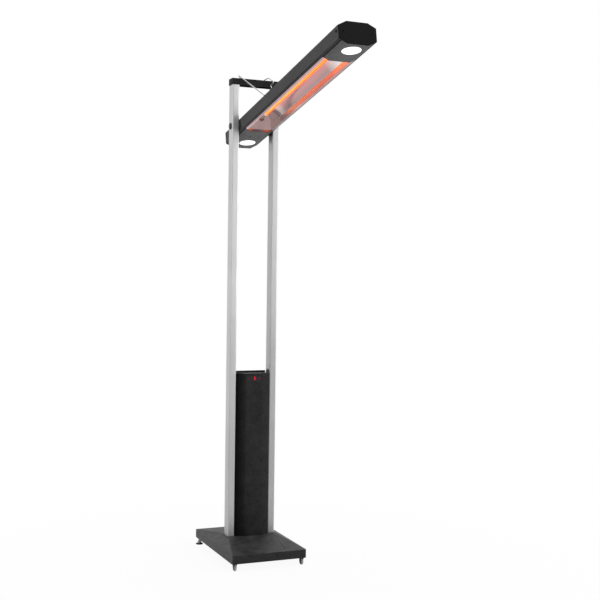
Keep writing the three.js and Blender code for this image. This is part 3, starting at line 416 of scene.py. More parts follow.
def cap_black():
    """Coarser, matt black of the end caps."""
    f = Finish("cap_black", specular_ior_level=0.14)
    grain = f.noise(620, 3, 0.6)
    patch = f.noise(30, 4, 0.6)
    shade = f.toned(patch, (0.003, 0.003, 0.0032), (0.006, 0.006, 0.0062), 0.3, 0.7)
    rough = f.plus(f.spread(grain, 0.5, 0.66), f.spread(patch, -0.04, 0.05))
    return f.done(shade, rough, f.bump(grain, 0.35, 0.2 * MM))


def zinc_steel():
    """Bright zinc plate with a crystalline mottling."""
    f = Finish("zinc_steel", metallic=1.0)
    mottle = f.noise(160, 4, 0.65)
    fine = f.noise(1500, 2, 0.5)
    shade = f.toned(mottle, (0.5, 0.51, 0.52), (0.66, 0.67, 0.68))
    rough = f.plus(f.spread(mottle, 0.2, 0.34), f.between(fine, -0.02, 0.04))
    return f.done(shade, rough, f.bump(fine, 0.08, 0.05 * MM))


def grained(name, metallic, skin, tones, rough, grit, strength, depth):
    """Colour and roughness follow one noise, the relief another."""
    f = Finish(name, metallic=metallic)
    skin = f.noise(*skin)
    return f.done(f.toned(skin, *tones), f.spread(skin, *rough), f.bump(f.noise(*grit), strength, depth))


def pale_casting():
    """Light grey die casting of the foot's stem."""
    tones = ((0.72, 0.725, 0.73), (0.85, 0.855, 0.86))
    return grained("pale_casting", 0.0, (240, 4, 0.65), tones, (0.42, 0.6), (1300, 2, 0.5), 0.2, 0.08 * MM)


def drawn_wire():
    """Bright drawn steel wire of the stay."""
    scratch = (420, 4, 0.7)
    tones = ((0.42, 0.42, 0.42), (0.56, 0.56, 0.565))
    return grained("drawn_wire", 1.0, scratch, tones, (0.16, 0.3), scratch, 0.06, 0.05 * MM)


def rolled_steel():
    """Oiled hot-rolled plate under the base."""
    tones = ((0.055, 0.055, 0.06), (0.14, 0.135, 0.13), 0.3, 0.7)
    return grained("rolled_steel", 0.8, (28, 6, 0.65), tones, (0.38, 0.62), (700, 3, 0.6), 0.2, 0.2 * MM)


def tread_grey():
    """Grey wheel compound with scuffs round its tread."""
    tones = ((0.4, 0.4, 0.405), (0.58, 0.58, 0.585))
    return grained("tread_grey", 0.0, (210, 5, 0.7), tones, (0.5, 0.72), (1300, 2, 0.5), 0.3, 0.15 * MM)


def pale_ceramic():
    """Cream ceramic of the terminal blocks."""
    speckle = (520, 4, 0.65)
    tones = ((0.62, 0.56, 0.47), (0.74, 0.69, 0.6), 0.35, 0.7)
    return grained("pale_ceramic", 0.0, speckle, tones, (0.55, 0.8), speckle, 0.25, 0.12 * MM)


def fired_ceramic():
    """Brown fired ceramic of the tube holders."""
    f = Finish("fired_ceramic")
    speckle = f.noise(520, 4, 0.65)
    body = f.toned(f.noise(60), (0.36, 0.1, 0.075), (0.46, 0.14, 0.11), 0.3, 0.7)
    shade = f.blend(f.between(speckle, 0, 0.4, 0.55, 0.75), body, (0.4, 0.18, 0.14))
    return f.done(shade, f.spread(speckle, 0.6, 0.85), f.bump(speckle, 0.3, 0.15 * MM))


def mirror_sheet():
    """Polished trough sheet: rolling lines, a pink painted reflection of the glowing tube on the roof over
    it that fades towards the glow's ends, duller flat sides with painted reflections, painted highlights on
    the lips, and painted shade outside the right lip."""
    f = Finish("mirror_sheet", metallic=1.0)
    rolled = f.lines((420, 3.5, 420), turn=ALONG_HEAD)
    streak = f.lines((46, 2.4, 46), 2, 0.5, ALONG_HEAD)
    waves = f.noise(14, 2, 0.5)
    tube_reflection_end, roof_end = (36 * MM, 47 * MM), (51.4 * MM, 52.6 * MM)
    lip_highlight_start, shade_start = (55.4 * MM, 55.7 * MM), (56.2 * MM, 56.8 * MM)
    across = f.off_middle("X")
    # painted reflection: the tube's glow fades out past its glowing length
    past_glow = f.between(f.off_middle("Y", GLOW_MIDDLE.y), 0, 1, GLOW_HALF - 110 * MM, GLOW_HALF - 20 * MM)
    # painted pink reflection of the glowing tube on the roof
    tube_reflection = f.toned(streak, (0.57, 0.305, 0.31), (0.64, 0.285, 0.28))
    grey = f.toned(streak, (0.38, 0.28, 0.275), (0.43, 0.29, 0.28))
    roof = f.blend(past_glow, f.toned(across, tube_reflection, grey, *tube_reflection_end), (0.84, 0.76, 0.75))
    # painted reflections on the flat sides: tinted, lighter past the glow and bluish low down
    side = f.toned(rolled, (0.56, 0.48, 0.62), (0.64, 0.55, 0.7), 0.3, 0.7)
    side = f.blend(past_glow, side, (0.95, 0.9, 0.82))
    low = f.between(f.head_level(), 1, 0, -29 * MM, -24 * MM)
    side = f.blend(low, side, (0.85, 0.93, 0.96))
    # painted reflection and highlight on the lips: pink on the left, light at the edges
    lip = f.toned(f.axis("X"), (0.54, 0.35, 0.365), (0.88, 0.85, 0.85), -60 * MM, -54 * MM)
    side = f.toned(across, side, lip, *lip_highlight_start)
    # painted shade on the sheet outside the right lip
    side = f.toned(f.axis("X"), side, (0.05, 0.048, 0.048), *shade_start)
    dull = f.between(f.between(across, 0, 1, 50 * MM, 52.4 * MM), 0, 0.1)
    rough = f.plus(f.plus(f.spread(rolled, 0.1, 0.16), f.spread(waves, -0.02, 0.03)), dull)
    relief = f.bump(waves, 0.03, 1.2 * MM, f.bump(rolled, 0.02, 0.06 * MM))
    return f.done(f.toned(across, roof, side, *roof_end), rough, relief)


def mirror_end():
    """Polished end walls of the trough, darker and pink: a painted reflection of the glowing tube."""
    f = Finish("mirror_end", metallic=1.0)
    rolled = f.lines((300, 300, 12))
    haze = f.noise(26, 4, 0.6)
    shade = f.toned(haze, (0.4, 0.3, 0.295), (0.5, 0.33, 0.32))
    rough = f.plus(f.spread(haze, 0.09, 0.16), f.spread(rolled, -0.02, 0.02))
    return f.done(shade, rough, f.bump(rolled, 0.06, 0.08 * MM))


def quartz_glass():
    """Clear quartz with drawn streaks, with a painted glow where the coil lies inside it and a faint one at
    its cold ends.
    """
    f = Finish("quartz_glass", transmission_weight=1.0, ior=1.45)
    streak = f.lines((300, 4, 300), turn=ALONG_HEAD)
    # painted glow: the glass itself shines over the coil, faintly beyond it
    lit = f.between(f.off_middle("Y", GLOW_MIDDLE.y), 1, 0, GLOW_HALF - 14 * MM, GLOW_HALF + 3 * MM)
    f.set("Emission color", f.blend(lit, (1.0, 0.7, 0.7), (1.0, 0.1, 0.012)))
    f.set("Emission strength", f.times(f.between(lit, 0.1, 1), f.spread(streak, 0.28, 0.4)))
    # painted glow colour on the glass over the coil
    shade = f.blend(lit, (0.96, 0.9, 0.88), (1.0, 0.65, 0.36))
    return f.done(shade, f.spread(streak, 0.02, 0.12), f.bump(streak, 0.08, 0.1 * MM))


def glowing_coil():
    """Resistance wire at yellow heat, a little cooler between turns."""
    c = colours()
    f = Finish("glowing_coil", roughness=0.6)
    heat = f.noise(60, 3, 0.6)
    f.set("Emission color", f.toned(heat, tint(c.glow, 0.92), c.glow, 0.3, 0.7))
    f.set("Emission strength", f.spread(heat, c.glow_strength * 0.85, c.glow_strength * 1.1))
    return f.done((0.1, 0.03, 0.01))


def cool_lead():
    """Tarnished lead at the cold ends of the coil."""
    f = Finish("cool_lead", metallic=0.2)
    tarnish = f.noise(300, 4, 0.6)
    return f.done(f.blend(tarnish, (0.8, 0.6, 0.55), (0.92, 0.76, 0.7)), f.between(tarnish, 0.3, 0.55))


def opal_diffuser():
    """Lit opal lens: light sources show through faintly as a pattern of spots."""
    strength = colours().lamp_strength
    f = Finish("opal_diffuser", roughness=0.25, emission_color=(1.0, 0.995, 0.98))
    chips = f.spots(105)
    f.set("Emission strength", f.between(chips, strength * 1.15, strength * 0.8, 0.05, 0.5))
    shade = f.toned(chips, (0.97, 0.97, 0.96), (0.9, 0.9, 0.89), 0.1, 0.5)
    return f.done(shade, normal=f.bump(f.noise(400, 2, 0.5), 0.1, 0.1 * MM))


def smoked_glass():
    """Glossy smoked pane of the display, with faint wiping marks."""
    f = Finish("smoked_glass", coat_weight=0.6, coat_roughness=0.05)
    wipe = f.lines((40, 40, 260), 4, 0.65, (0, 0.5, 0))
    shade = f.toned(wipe, (0.012, 0.011, 0.013), (0.02, 0.019, 0.022), 0.3, 0.7)
    return f.done(shade, f.spread(wipe, 0.08, 0.2))


def lit_mark(name, base, light, most, least):
    """A mark of the display, made of small lit cells."""
    f = Finish(name, roughness=0.6, specular_ior_level=0.05, emission_color=light)
    f.set("Emission strength", f.between(f.spots(900), most, least, 0.0, 0.6))
    return f.done(base)


def display_red():
    return lit_mark("display_red", (0.25, 0.0, 0.01), (1.0, 0.004, 0.02), 1.1, 0.85)


def display_red_dim():
    return lit_mark("display_red_dim", (0.15, 0.0, 0.01), (1.0, 0.012, 0.045), 0.2, 0.12)


def solder_mask():
    """Circuit board: copper tracks showing through green mask."""
    f = Finish("solder_mask", roughness=0.3)
    inputs = {"Vector": f.place, "Scale": 260.0, "Mortar Size": 0.02, "Brick Width": 0.7}
    tracks = f.node("ShaderNodeTexBrick", inputs).outputs["Fac"]
    shade = f.blend(tracks, (0.012, 0.075, 0.035), (0.03, 0.16, 0.07))
    return f.done(shade, normal=f.bump(tracks, 0.3, 0.05 * MM))


# ---- piece builder

ALONG_X = Matrix.Rotation(math.pi / 2, 4, "Y")
ALONG_Y = Matrix.Rotation(math.pi / 2, 4, "X")  # the top of a profile ends up in front


def new_object(name, mesh):
    """An object made of a bmesh, which is used up."""
    data = bpy.data.meshes.new(name)
    mesh.to_mesh(data)
    mesh.free()
    return bpy.data.objects.new(name, data)


def link(obj):
    bpy.context.scene.collection.objects.link(obj)


def shade_smooth(data):
    data.polygons.foreach_set("use_smooth", [True] * len(data.polygons))


def apply_modifiers(obj):
    """Takes the object's modifiers into its mesh."""
    graph = bpy.context.evaluated_depsgraph_get()
    graph.update()
    evaluated = obj.evaluated_get(graph)
    made = bpy.data.meshes.new_from_object(evaluated, preserve_all_data_layers=True, depsgraph=graph)
    obj.modifiers.clear()
    old = obj.data
    obj.data = made
    made.name = obj.name
    if old.users == 0:
        bpy.data.meshes.remove(old)


def make_piece(name, mesh, body, maker, slot, stands_for=(), rounding=None, smooth=34):
    """Turns a bmesh into a finished piece that rides on a body. Its edges are rounded by
    rounding, or by the set radius, and edges of less than smooth degrees don't show."""
    obj = new_object(name, mesh)
    link(obj)
    obj.data.materials.append(once(maker))
    shade_smooth(obj.data)
    obj.data.set_sharp_from_angle(angle=math.radians(smooth))
    width = sizes().edge_round if rounding is None else rounding
    if width > 0:
        bevel = obj.modifiers.new("Edges", "BEVEL")
        bevel.width = width
        bevel.segments = 3
        bevel.limit_method = "ANGLE"
        bevel.angle_limit = math.radians(28)
        bevel.use_clamp_overlap = True
        bevel.miter_outer = "MITER_ARC"
        weighted = obj.modifiers.new("Normals", "WEIGHTED_NORMAL")
        weighted.keep_sharp = False
        weighted.weight = 80
        apply_modifiers(obj)
        shade_smooth(obj.data)
    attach(obj, body)
    if stands_for:
        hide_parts(*stands_for)


def dressed(node, body, maker, slot, rounding=None, smooth=34):
    """A frame node again, its flat faces joined up, with rounded edges and smooth curves."""
    mesh = bmesh.new()
    mesh.from_mesh(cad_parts[node].data)
    bmesh.ops.remove_doubles(mesh, verts=mesh.verts, dist=0.004 * MM)
    bmesh.ops.dissolve_limit(mesh, angle_limit=math.radians(0.6), verts=mesh.verts, edges=mesh.edges)
    make_piece(f"{node}_finished", mesh, body, maker, slot, (node,), rounding, smooth)


def lathed(node, profile, place, body, maker, slot, ease=0.0, sides=72):
    """A frame node again, turned from a profile whose corners are rounded by ease."""
    mesh = turned(eased(profile, ease) if ease else profile, place, sides)
    make_piece(f"{node}_finished", mesh, body, maker, slot, (node,), 0)


def paint(maker, slot, *nodes):
    """Gives frame nodes that keep their own shape a better finish."""
    for node in nodes:
        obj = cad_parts[node]
        obj.data.materials.clear()
        obj.data.materials.append(once(maker))


def skin(mesh, rings, sides):
    """Faces between each ring and the next; a ring may be a single point."""
    for low, high in zip(rings, rings[1:]):
        for k in range(sides):
            here, there = low[k % len(low)], high[k % len(high)]
            corners = (here, low[(k + 1) % len(low)], high[(k + 1) % len(high)], there)
            corners = tuple(dict.fromkeys(corners))
            if len(corners) > 2:
                mesh.faces.new(corners)
    bmesh.ops.recalc_face_normals(mesh, faces=mesh.faces)


def turned(profile, place, sides, six_sided=()):
    """A bmesh turned about Z from (radius, height) steps, then put in its place.
    Steps listed in six_sided are drawn as a hexagon."""
    mesh = bmesh.new()
    rings = []
    for step, (radius, height) in enumerate(profile):
        if step == len(profile) - 1 and profile[step] == profile[0]:
            rings.append(rings[0])
            continue
        ring = []
        for k in range(sides if radius > 0 else 1):
            angle = 2 * math.pi * k / sides
            r = radius
            if step in six_sided:
                r *= math.cos(math.pi / 6) / math.cos(angle % (math.pi / 3) - math.pi / 6)
            ring.append(mesh.verts.new((r * math.cos(angle), r * math.sin(angle), height)))
        rings.append(ring)
    skin(mesh, rings, sides)
    mesh.transform(place)
    return mesh


def both_ends(upper):
    """A profile that is the same at both ends, from its upper half."""
    return [(radius, -height) for radius, height in upper] + upper[::-1]


def rounded(corner, back, ahead, reach, parts):
    """Points that round a corner off, from reach before it to reach after it."""
    start, end = corner + back.normalized() * reach, corner + ahead.normalized() * reach
    for k in range(parts + 1):
        t = k / parts
        yield start.lerp(corner, t).lerp(corner.lerp(end, t), t)


def eased(profile, radius):
    """Rounds the corners of a turned profile. A closed one ends with its first point twice,
    so that its last face isn't shaded together with its first."""
    points = [Vector(p) for p in profile]
    closed = points[0] == points[-1]
    made = []
    for i, corner in enumerate(points[:-1]):
        if i == 0 and not closed:
            made.append(tuple(corner))
            continue
        back = points[i - 1 if i else -2] - corner
        ahead = points[i + 1] - corner
        reach = min(radius, back.length * 0.45, ahead.length * 0.45)
        made += [tuple(p) for p in rounded(corner, back, ahead, reach, 4)]
    return made + (made[:1] * 2 if closed else [tuple(points[-1])])


def swept(points, radius, sides):
    """A round bar along points, closed by two domed ends."""
    mesh = bmesh.new()
    across = UP
    before = (points[1] - points[0]).normalized()
    rings = []
    for i, point in enumerate(points):
        along = (points[min(i + 1, len(points) - 1)] - points[max(i - 1, 0)]).normalized()
        across = before.rotation_difference(along) @ across
        across = (across - along * across.dot(along)).normalized()
        third = along.cross(across)
        before = along
        ring = []
        for k in range(sides):
            angle = 2 * math.pi * k / sides
            offset = across * math.cos(angle) + third * math.sin(angle)
            ring.append(mesh.verts.new(point + offset * radius))
        rings.append(ring)
    dome = 0.15 * radius
    first = mesh.verts.new(points[0] + (points[0] - points[1]).normalized() * dome)
    last = mesh.verts.new(points[-1] + (points[-1] - points[-2]).normalized() * dome)
    skin(mesh, [[first], *rings, [last]], sides)
    return mesh


def bent(corners, bend):
    """Points along a wire with every corner rounded."""
    made = [corners[0]]
    for before, corner, after in zip(corners, corners[1:], corners[2:]):
        back, ahead = before - corner, after - corner
        reach = min(bend, back.length / 2.2, ahead.length / 2.2)
        made += rounded(corner, back, ahead, reach, 7)
    return made + [corners[-1]]


# ---- geometry nodes


class Tree(Nodes):
    """A geometry node tree with named inputs."""

    def __init__(self, name):
        super().__init__(bpy.data.node_groups.new(name, "GeometryNodeTree"))
        self.tree.is_modifier = True
        self.tree.interface.new_socket("Geometry", in_out="OUTPUT", socket_type="NodeSocketGeometry")

    def named(self, name, kind):
        socket = self.tree.interface.new_socket(name, in_out="INPUT", socket_type=f"NodeSocket{kind}")
        start = self.node("NodeGroupInput")
        return next(s for s in start.outputs if s.identifier == socket.identifier)

    def finish(self, geometry, material):
        realised = self.node("GeometryNodeRealizeInstances", {0: geometry})
        inputs = {"Geometry": realised.outputs[0], "Material": material}
        painted = self.node("GeometryNodeSetMaterial", inputs)
        self.node("NodeGroupOutput", {0: painted.outputs[0]})
        return self.tree


def grow(name, mesh, tree, inputs, body):
    """Runs a tree on a mesh, keeps the result as a plain piece of its own."""
    obj = new_object(name, mesh)
    modifier = obj.modifiers.new("Grown", "NODES")
    modifier.node_group = tree
    for item in tree.interface.items_tree:
        if item.item_type == "SOCKET" and item.in_out == "INPUT" and item.name in inputs:
            modifier[item.identifier] = inputs[item.name]
    link(obj)
    apply_modifiers(obj)
    shade_smooth(obj.data)
    obj.data.set_sharp_from_angle(angle=math.radians(38))
    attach(obj, body)
    return obj


def screw_tree():
    """Puts a screw head on every point, turned to the point's own direction."""
    t = Tree("screw_rows")
    seats = t.node("GeometryNodeMeshToPoints", {"Mesh": t.named("Seats", "Geometry")})
    head = t.node("GeometryNodeObjectInfo", {"Object": t.named("Head", "Object")})
    size, material = t.named("Size", "Float"), t.named("Finish", "Material")
    way = t.node("GeometryNodeInputNamedAttribute", {"Name": "way"}, data_type="FLOAT_VECTOR")
    turn = t.node("FunctionNodeAlignRotationToVector", {"Vector": way.outputs[0]}, axis="Z")
    inputs = {"Points": seats.outputs[0], "Instance": head.outputs["Geometry"]}
    inputs.update({"Rotation": turn.outputs[0], "Scale": size})
    return t.finish(t.node("GeometryNodeInstanceOnPoints", inputs).outputs[0], material)


def coil_tree():
    """Winds a wire into an even coil, up from the piece's place."""
    t = Tree("heating_coil")
    t.named("Seed mesh", "Geometry")
    height, radius, pitch, wire = (t.named(key, "Float") for key in ("Length", "Radius", "Pitch", "Wire"))
    material = t.named("Finish", "Material")
    inputs = {"Resolution": 12, "Rotations": t.calc("DIVIDE", height, pitch), "Height": height}
    inputs.update({"Start Radius": radius, "End Radius": radius})
    spiral = t.node("GeometryNodeCurveSpiral", inputs)
    section = t.node("GeometryNodeCurvePrimitiveCircle", {"Resolution": 6, "Radius": wire})
    inputs = {"Curve": spiral.outputs[0], "Profile Curve": section.outputs[0], "Fill Caps": True}
    return t.finish(t.node("GeometryNodeCurveToMesh", inputs).outputs[0], material)


def screw_head():
    """A pan head of unit radius with a hexagon socket."""
    profile = [
        (0, 0.1), (0.42, 0.1), (0.46, 0.14), (0.46, 0.56), (0.5, 0.6), (0.62, 0.585),
        (0.8, 0.5), (0.93, 0.34), (0.99, 0.16), (1.0, 0.0), (0.5, -0.05), (0, -0.05),
    ]
    return new_object("screw_head", turned(profile, Matrix.Identity(4), 36, six_sided=(1, 2, 3)))


def screw_row(name, seats, body, maker, size):
    """Screws on (point, direction) seats, as one piece."""
    mesh = bmesh.new()
    way = mesh.verts.layers.float_vector.new("way")
    for point, direction in seats:
        mesh.verts.new(point)[way] = Vector(direction)
    tree = once(screw_tree)
    grow(name, mesh, tree, {"Head": once(screw_head), "Size": size, "Finish": once(maker)}, body)


# ---- pieces


class HEATER_OT_base(bpy.types.Operator):
    """Base: cover panels, ballast plate, sockets"""

    bl_idname = "heater.base"
    bl_label = "Base"
    bl_options = {"REGISTER", "UNDO"}

    def execute(self, context):
        for word in SIDES:
            dressed(f"base_cover_{word}", "frame", base_coat, "black_sheet", 1.8 * MM)
        dressed("ballast_plate", "frame", rolled_steel, "ballast_steel", 0.6 * MM)
        paint(zinc_steel, "plated_steel", "post_socket_left", "post_socket_right")
        low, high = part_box("ballast_plate")
        from_side, from_end = 60 * MM, 22 * MM
        seats = []
        for x in (low.x + from_side, 0, high.x - from_side):
            for y in (low.y + from_end, high.y - from_end):
                seats.append(((x, y, low.z), -UP))
        screw_row("ballast_screws", seats, "frame", zinc_steel, 5 * MM)
        return {"FINISHED"}


class HEATER_OT_casters(bpy.types.Operator):
    """Small wheels at the front with their forks and axles"""

    bl_idname = "heater.casters"
    bl_label = "Casters"
    bl_options = {"REGISTER", "UNDO"}

    def wheel(self, word):
        node = f"caster_wheel_{word}"
        low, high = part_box(node)
        half, rim = (high.x - low.x) / 2, (high.z - low.z) / 2
        bore, slope = 2.3 * MM, 0.4 * MM
        hub, tyre, web = bore + 2 * MM, rim - 4 * MM, half / 2
        face = [
            (bore, half), (hub, half), (hub + slope, web), (tyre - slope, web), (tyre, half),
            (rim - 1.6 * MM, half), (rim, half - 1.7 * MM),
        ]
        profile = both_ends(face) + [(bore, -half)]
        place = Matrix.Translation(middle(node)) @ ALONG_X
        lathed(node, profile, place, f"wheel_{word}", tread_grey, "grey_rubber", 0.5 * MM)

    def axle(self, word):
        node = f"caster_axle_{word}"
        low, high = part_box(node)
        end, head, shank = (high.x - low.x) / 2, (high.z - low.z) / 2, 2 * MM
        tip = [
            (0, end), (head - 0.6 * MM, end), (head, end - 0.7 * MM), (head, end - 1.3 * MM),
            (shank, end - 1.3 * MM),
        ]
        place = Matrix.Translation(middle(node)) @ ALONG_X
        lathed(node, both_ends(tip), place, "frame", zinc_steel, "plated_steel", 0.3 * MM, 48)

    def execute(self, context):
        for word in SIDES:
            self.wheel(word)
            dressed(f"caster_fork_{word}", "frame", moulded_black, "black_plastic", 0.4 * MM)
            self.axle(word)
        return {"FINISHED"}


class HEATER_OT_feet(bpy.types.Operator):
    """Screw feet at the rear: pad, bell and threaded stem"""

    bl_idname = "heater.feet"
    bl_label = "Screw feet"
    bl_options = {"REGISTER", "UNDO"}

    def pad(self, word, place):
        low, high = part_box(f"foot_pad_{word}")
        rim, top = (high.x - low.x) / 2, high.z
        groove, well = rim - 4 * MM, 10.4 * MM
        profile = [
            (0, 0), (rim - 1 * MM, 0), (rim, 1 * MM), (rim, top - 1.4 * MM), (rim - 1.6 * MM, top),
            (groove, top), (groove - 0.5 * MM, top - 0.5 * MM), (well + 0.4 * MM, top - 0.5 * MM),
            (well, top), (0, top),
        ]
        node = f"foot_pad_{word}"
        lathed(node, profile, place, f"foot_{word}", cap_black, "black_plastic", 0.4 * MM)

    def stem(self, word, place):
        low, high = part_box(f"foot_stem_{word}")
        bell, core, crest, pitch = 10 * MM, 4.35 * MM, 5 * MM, 1.4 * MM
        profile = [(0, low.z), (bell, low.z), (bell, low.z + 2 * MM)]
        profile += [(5.2 * MM, low.z + 15 * MM), (4.5 * MM, low.z + 17 * MM)]
        height = low.z + 18 * MM
        while height < high.z - 2.5 * MM:
            profile += [(core, height), (crest, height + pitch / 2)]
            height += pitch
        profile += [(core, high.z - 1 * MM), (3.6 * MM, high.z), (0, high.z)]
        node = f"foot_stem_{word}"
        lathed(node, profile, place, f"foot_{word}", pale_casting, "plated_steel", sides=56)

    def execute(self, context):
        for word in SIDES:
            centre = middle(f"foot_pad_{word}")
            place = Matrix.Translation((centre.x, centre.y, 0))
            self.pad(word, place)
            self.stem(word, place)
            dressed(f"foot_nut_{word}", "frame", zinc_steel, "plated_steel", 0.5 * MM)
        return {"FINISHED"}


class HEATER_OT_posts(bpy.types.Operator):
    """Anodised posts and the crossbar on top of them"""

    bl_idname = "heater.posts"
    bl_label = "Posts and crossbar"
    bl_options = {"REGISTER", "UNDO"}

    def execute(self, context):
        for word in SIDES:
            dressed(f"post_{word}", "frame", anodised_aluminium, "anodised_aluminium", 0.35 * MM)
        dressed("crossbar", "frame", powder_coat, "black_sheet", 0.9 * MM)
        return {"FINISHED"}


class HEATER_OT_column(bpy.types.Operator):
    """Control column: folded front, back plate, lid and what is inside"""

    bl_idname = "heater.column"
    bl_label = "Control column"
    bl_options = {"REGISTER", "UNDO"}

    def execute(self, context):
        dressed("column_housing", "frame", column_coat, "black_sheet", 0.8 * MM)
        dressed("column_back_plate", "frame", column_coat, "black_sheet", 0.5 * MM)
        dressed("column_lid", "frame", satin_coat, "black_sheet", 1.2 * MM)
        paint(solder_mask, "circuit_board", "control_board")
        paint(zinc_steel, "plated_steel", "power_unit")
        paint(pale_ceramic, "ceramic", "mains_terminal")
        dressed("switch_bezel", "frame", moulded_black, "black_plastic", 0.5 * MM)
        dressed("switch_rocker", "rocker", moulded_black, "black_plastic", 0.5 * MM)
        low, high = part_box("column_back_plate")
        from_edge = 9 * MM
        seats = []
        for x in (low.x + from_edge, high.x - from_edge):
            for part in (0.1, 0.36, 0.64, 0.965):
                seats.append(((x, high.y, low.z + part * (high.z - low.z)), (0, 1, 0)))
        screw_row("back_plate_screws", seats, "frame", cap_black, 3 * MM)
        self.gland(high.y)
        return {"FINISHED"}

    def gland(self, face):
        """Cord entry, turned about its own line out of the back plate's face."""
        low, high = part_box("cable_gland")
        bore, shank, collar, rim = 5 * MM, 8 * MM, 0.3 * MM, (high.x - low.x) / 2
        inner, tip, dome = low.y - face, high.y - face, rim - 1.5 * MM
        profile = [
            (bore, inner), (shank, inner), (shank, collar), (rim, collar), (rim, 6 * MM),
            (dome, 7.5 * MM), (dome, tip - 6 * MM), (rim - 3.2 * MM, tip - 1.6 * MM), (7 * MM, tip),
            (bore, tip), (bore, inner),
        ]
        centre = middle("cable_gland")
        place = Matrix.Translation((centre.x, face, centre.z)) @ ALONG_Y.inverted()
        lathed("cable_gland", profile, place, "frame", moulded_black, "black_plastic", 0.5 * MM)


class HEATER_OT_display(bpy.types.Operator):
    """Display: smoked pane with its lit marks"""

    bl_idname = "heater.display"
    bl_label = "Display"
    bl_options = {"REGISTER", "UNDO"}

    def execute(self, context):
        dressed("display_pane", "frame", smoked_glass, "smoked_pane", 0.2 * MM)
        level = middle("display_pane").z
        thick, gap = 0.12 * MM, 0.02 * MM
        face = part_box("display_pane")[0].y - gap - thick / 2

        def bar(mesh, x, z, width, height):
            place = Matrix.Translation((x * MM, face, level + z * MM))
            shape = Matrix.Diagonal((width * MM, thick, height * MM, 1))
            bmesh.ops.create_cube(mesh, size=1, matrix=place @ shape)

        bright, dim = bmesh.new(), bmesh.new()
        for x, z in ((2.4, 4.9), (2.8, -2.5)):
            bar(bright, x, z, 4.4, 6.8)
        bar(dim, -27, 0, 3.6, 3.6)
        for k in range(4):
            bar(dim, 14 + 7.5 * k, 0, 6.4, 2.2)
        make_piece("display_lit", bright, "frame", display_red, "smoked_pane", rounding=0)
        make_piece("display_dim", dim, "frame", display_red_dim, "smoked_pane", rounding=0)
        return {"FINISHED"}


class HEATER_OT_housing(bpy.types.Operator):
    """Head: extrusion, end caps and cover plates"""

    bl_idname = "heater.housing"
    bl_label = "Head housing"
    bl_options = {"REGISTER", "UNDO"}

    def execute(self, context):
        dressed("head_housing", "head", housing_coat, "grey_housing", 0.45 * MM)
        for word in ENDS:
            dressed(f"end_cap_{word}", "head", cap_black, "black_sheet")
            dressed(f"cover_plate_{word}", "head", cover_coat, "grey_housing", 0.35 * MM)
        ahead = HEAD.to_3x3() @ Vector((0, -1, 0))
        down = HEAD.to_3x3() @ -UP
        sink, from_middle, level = 0.6 * MM, 55 * MM, 4 * MM
        seats = []
        for along, way in ((HEAD_FRONT - sink, ahead), (sink - HEAD_REAR, -ahead)):
            seats += [(on_head(x, along, level), way) for x in (-from_middle, from_middle)]
        screw_row("end_cap_screws", seats, "head", cap_black, sizes().screw_radius)
        seats = []
        for x, along in ((18.8, -1), (-18.8, -1), (0, -162)):
            seats.append((on_head(x * MM, along * MM, -HEAD_HALF_HEIGHT), down))
        screw_row("cover_screws", seats, "head", cap_black, 2.6 * MM)
        paint(pale_ceramic, "ceramic", "head_terminal")
        paint(zinc_steel, "plated_steel", "lamp_module_front", "lamp_module_rear")
        return {"FINISHED"}


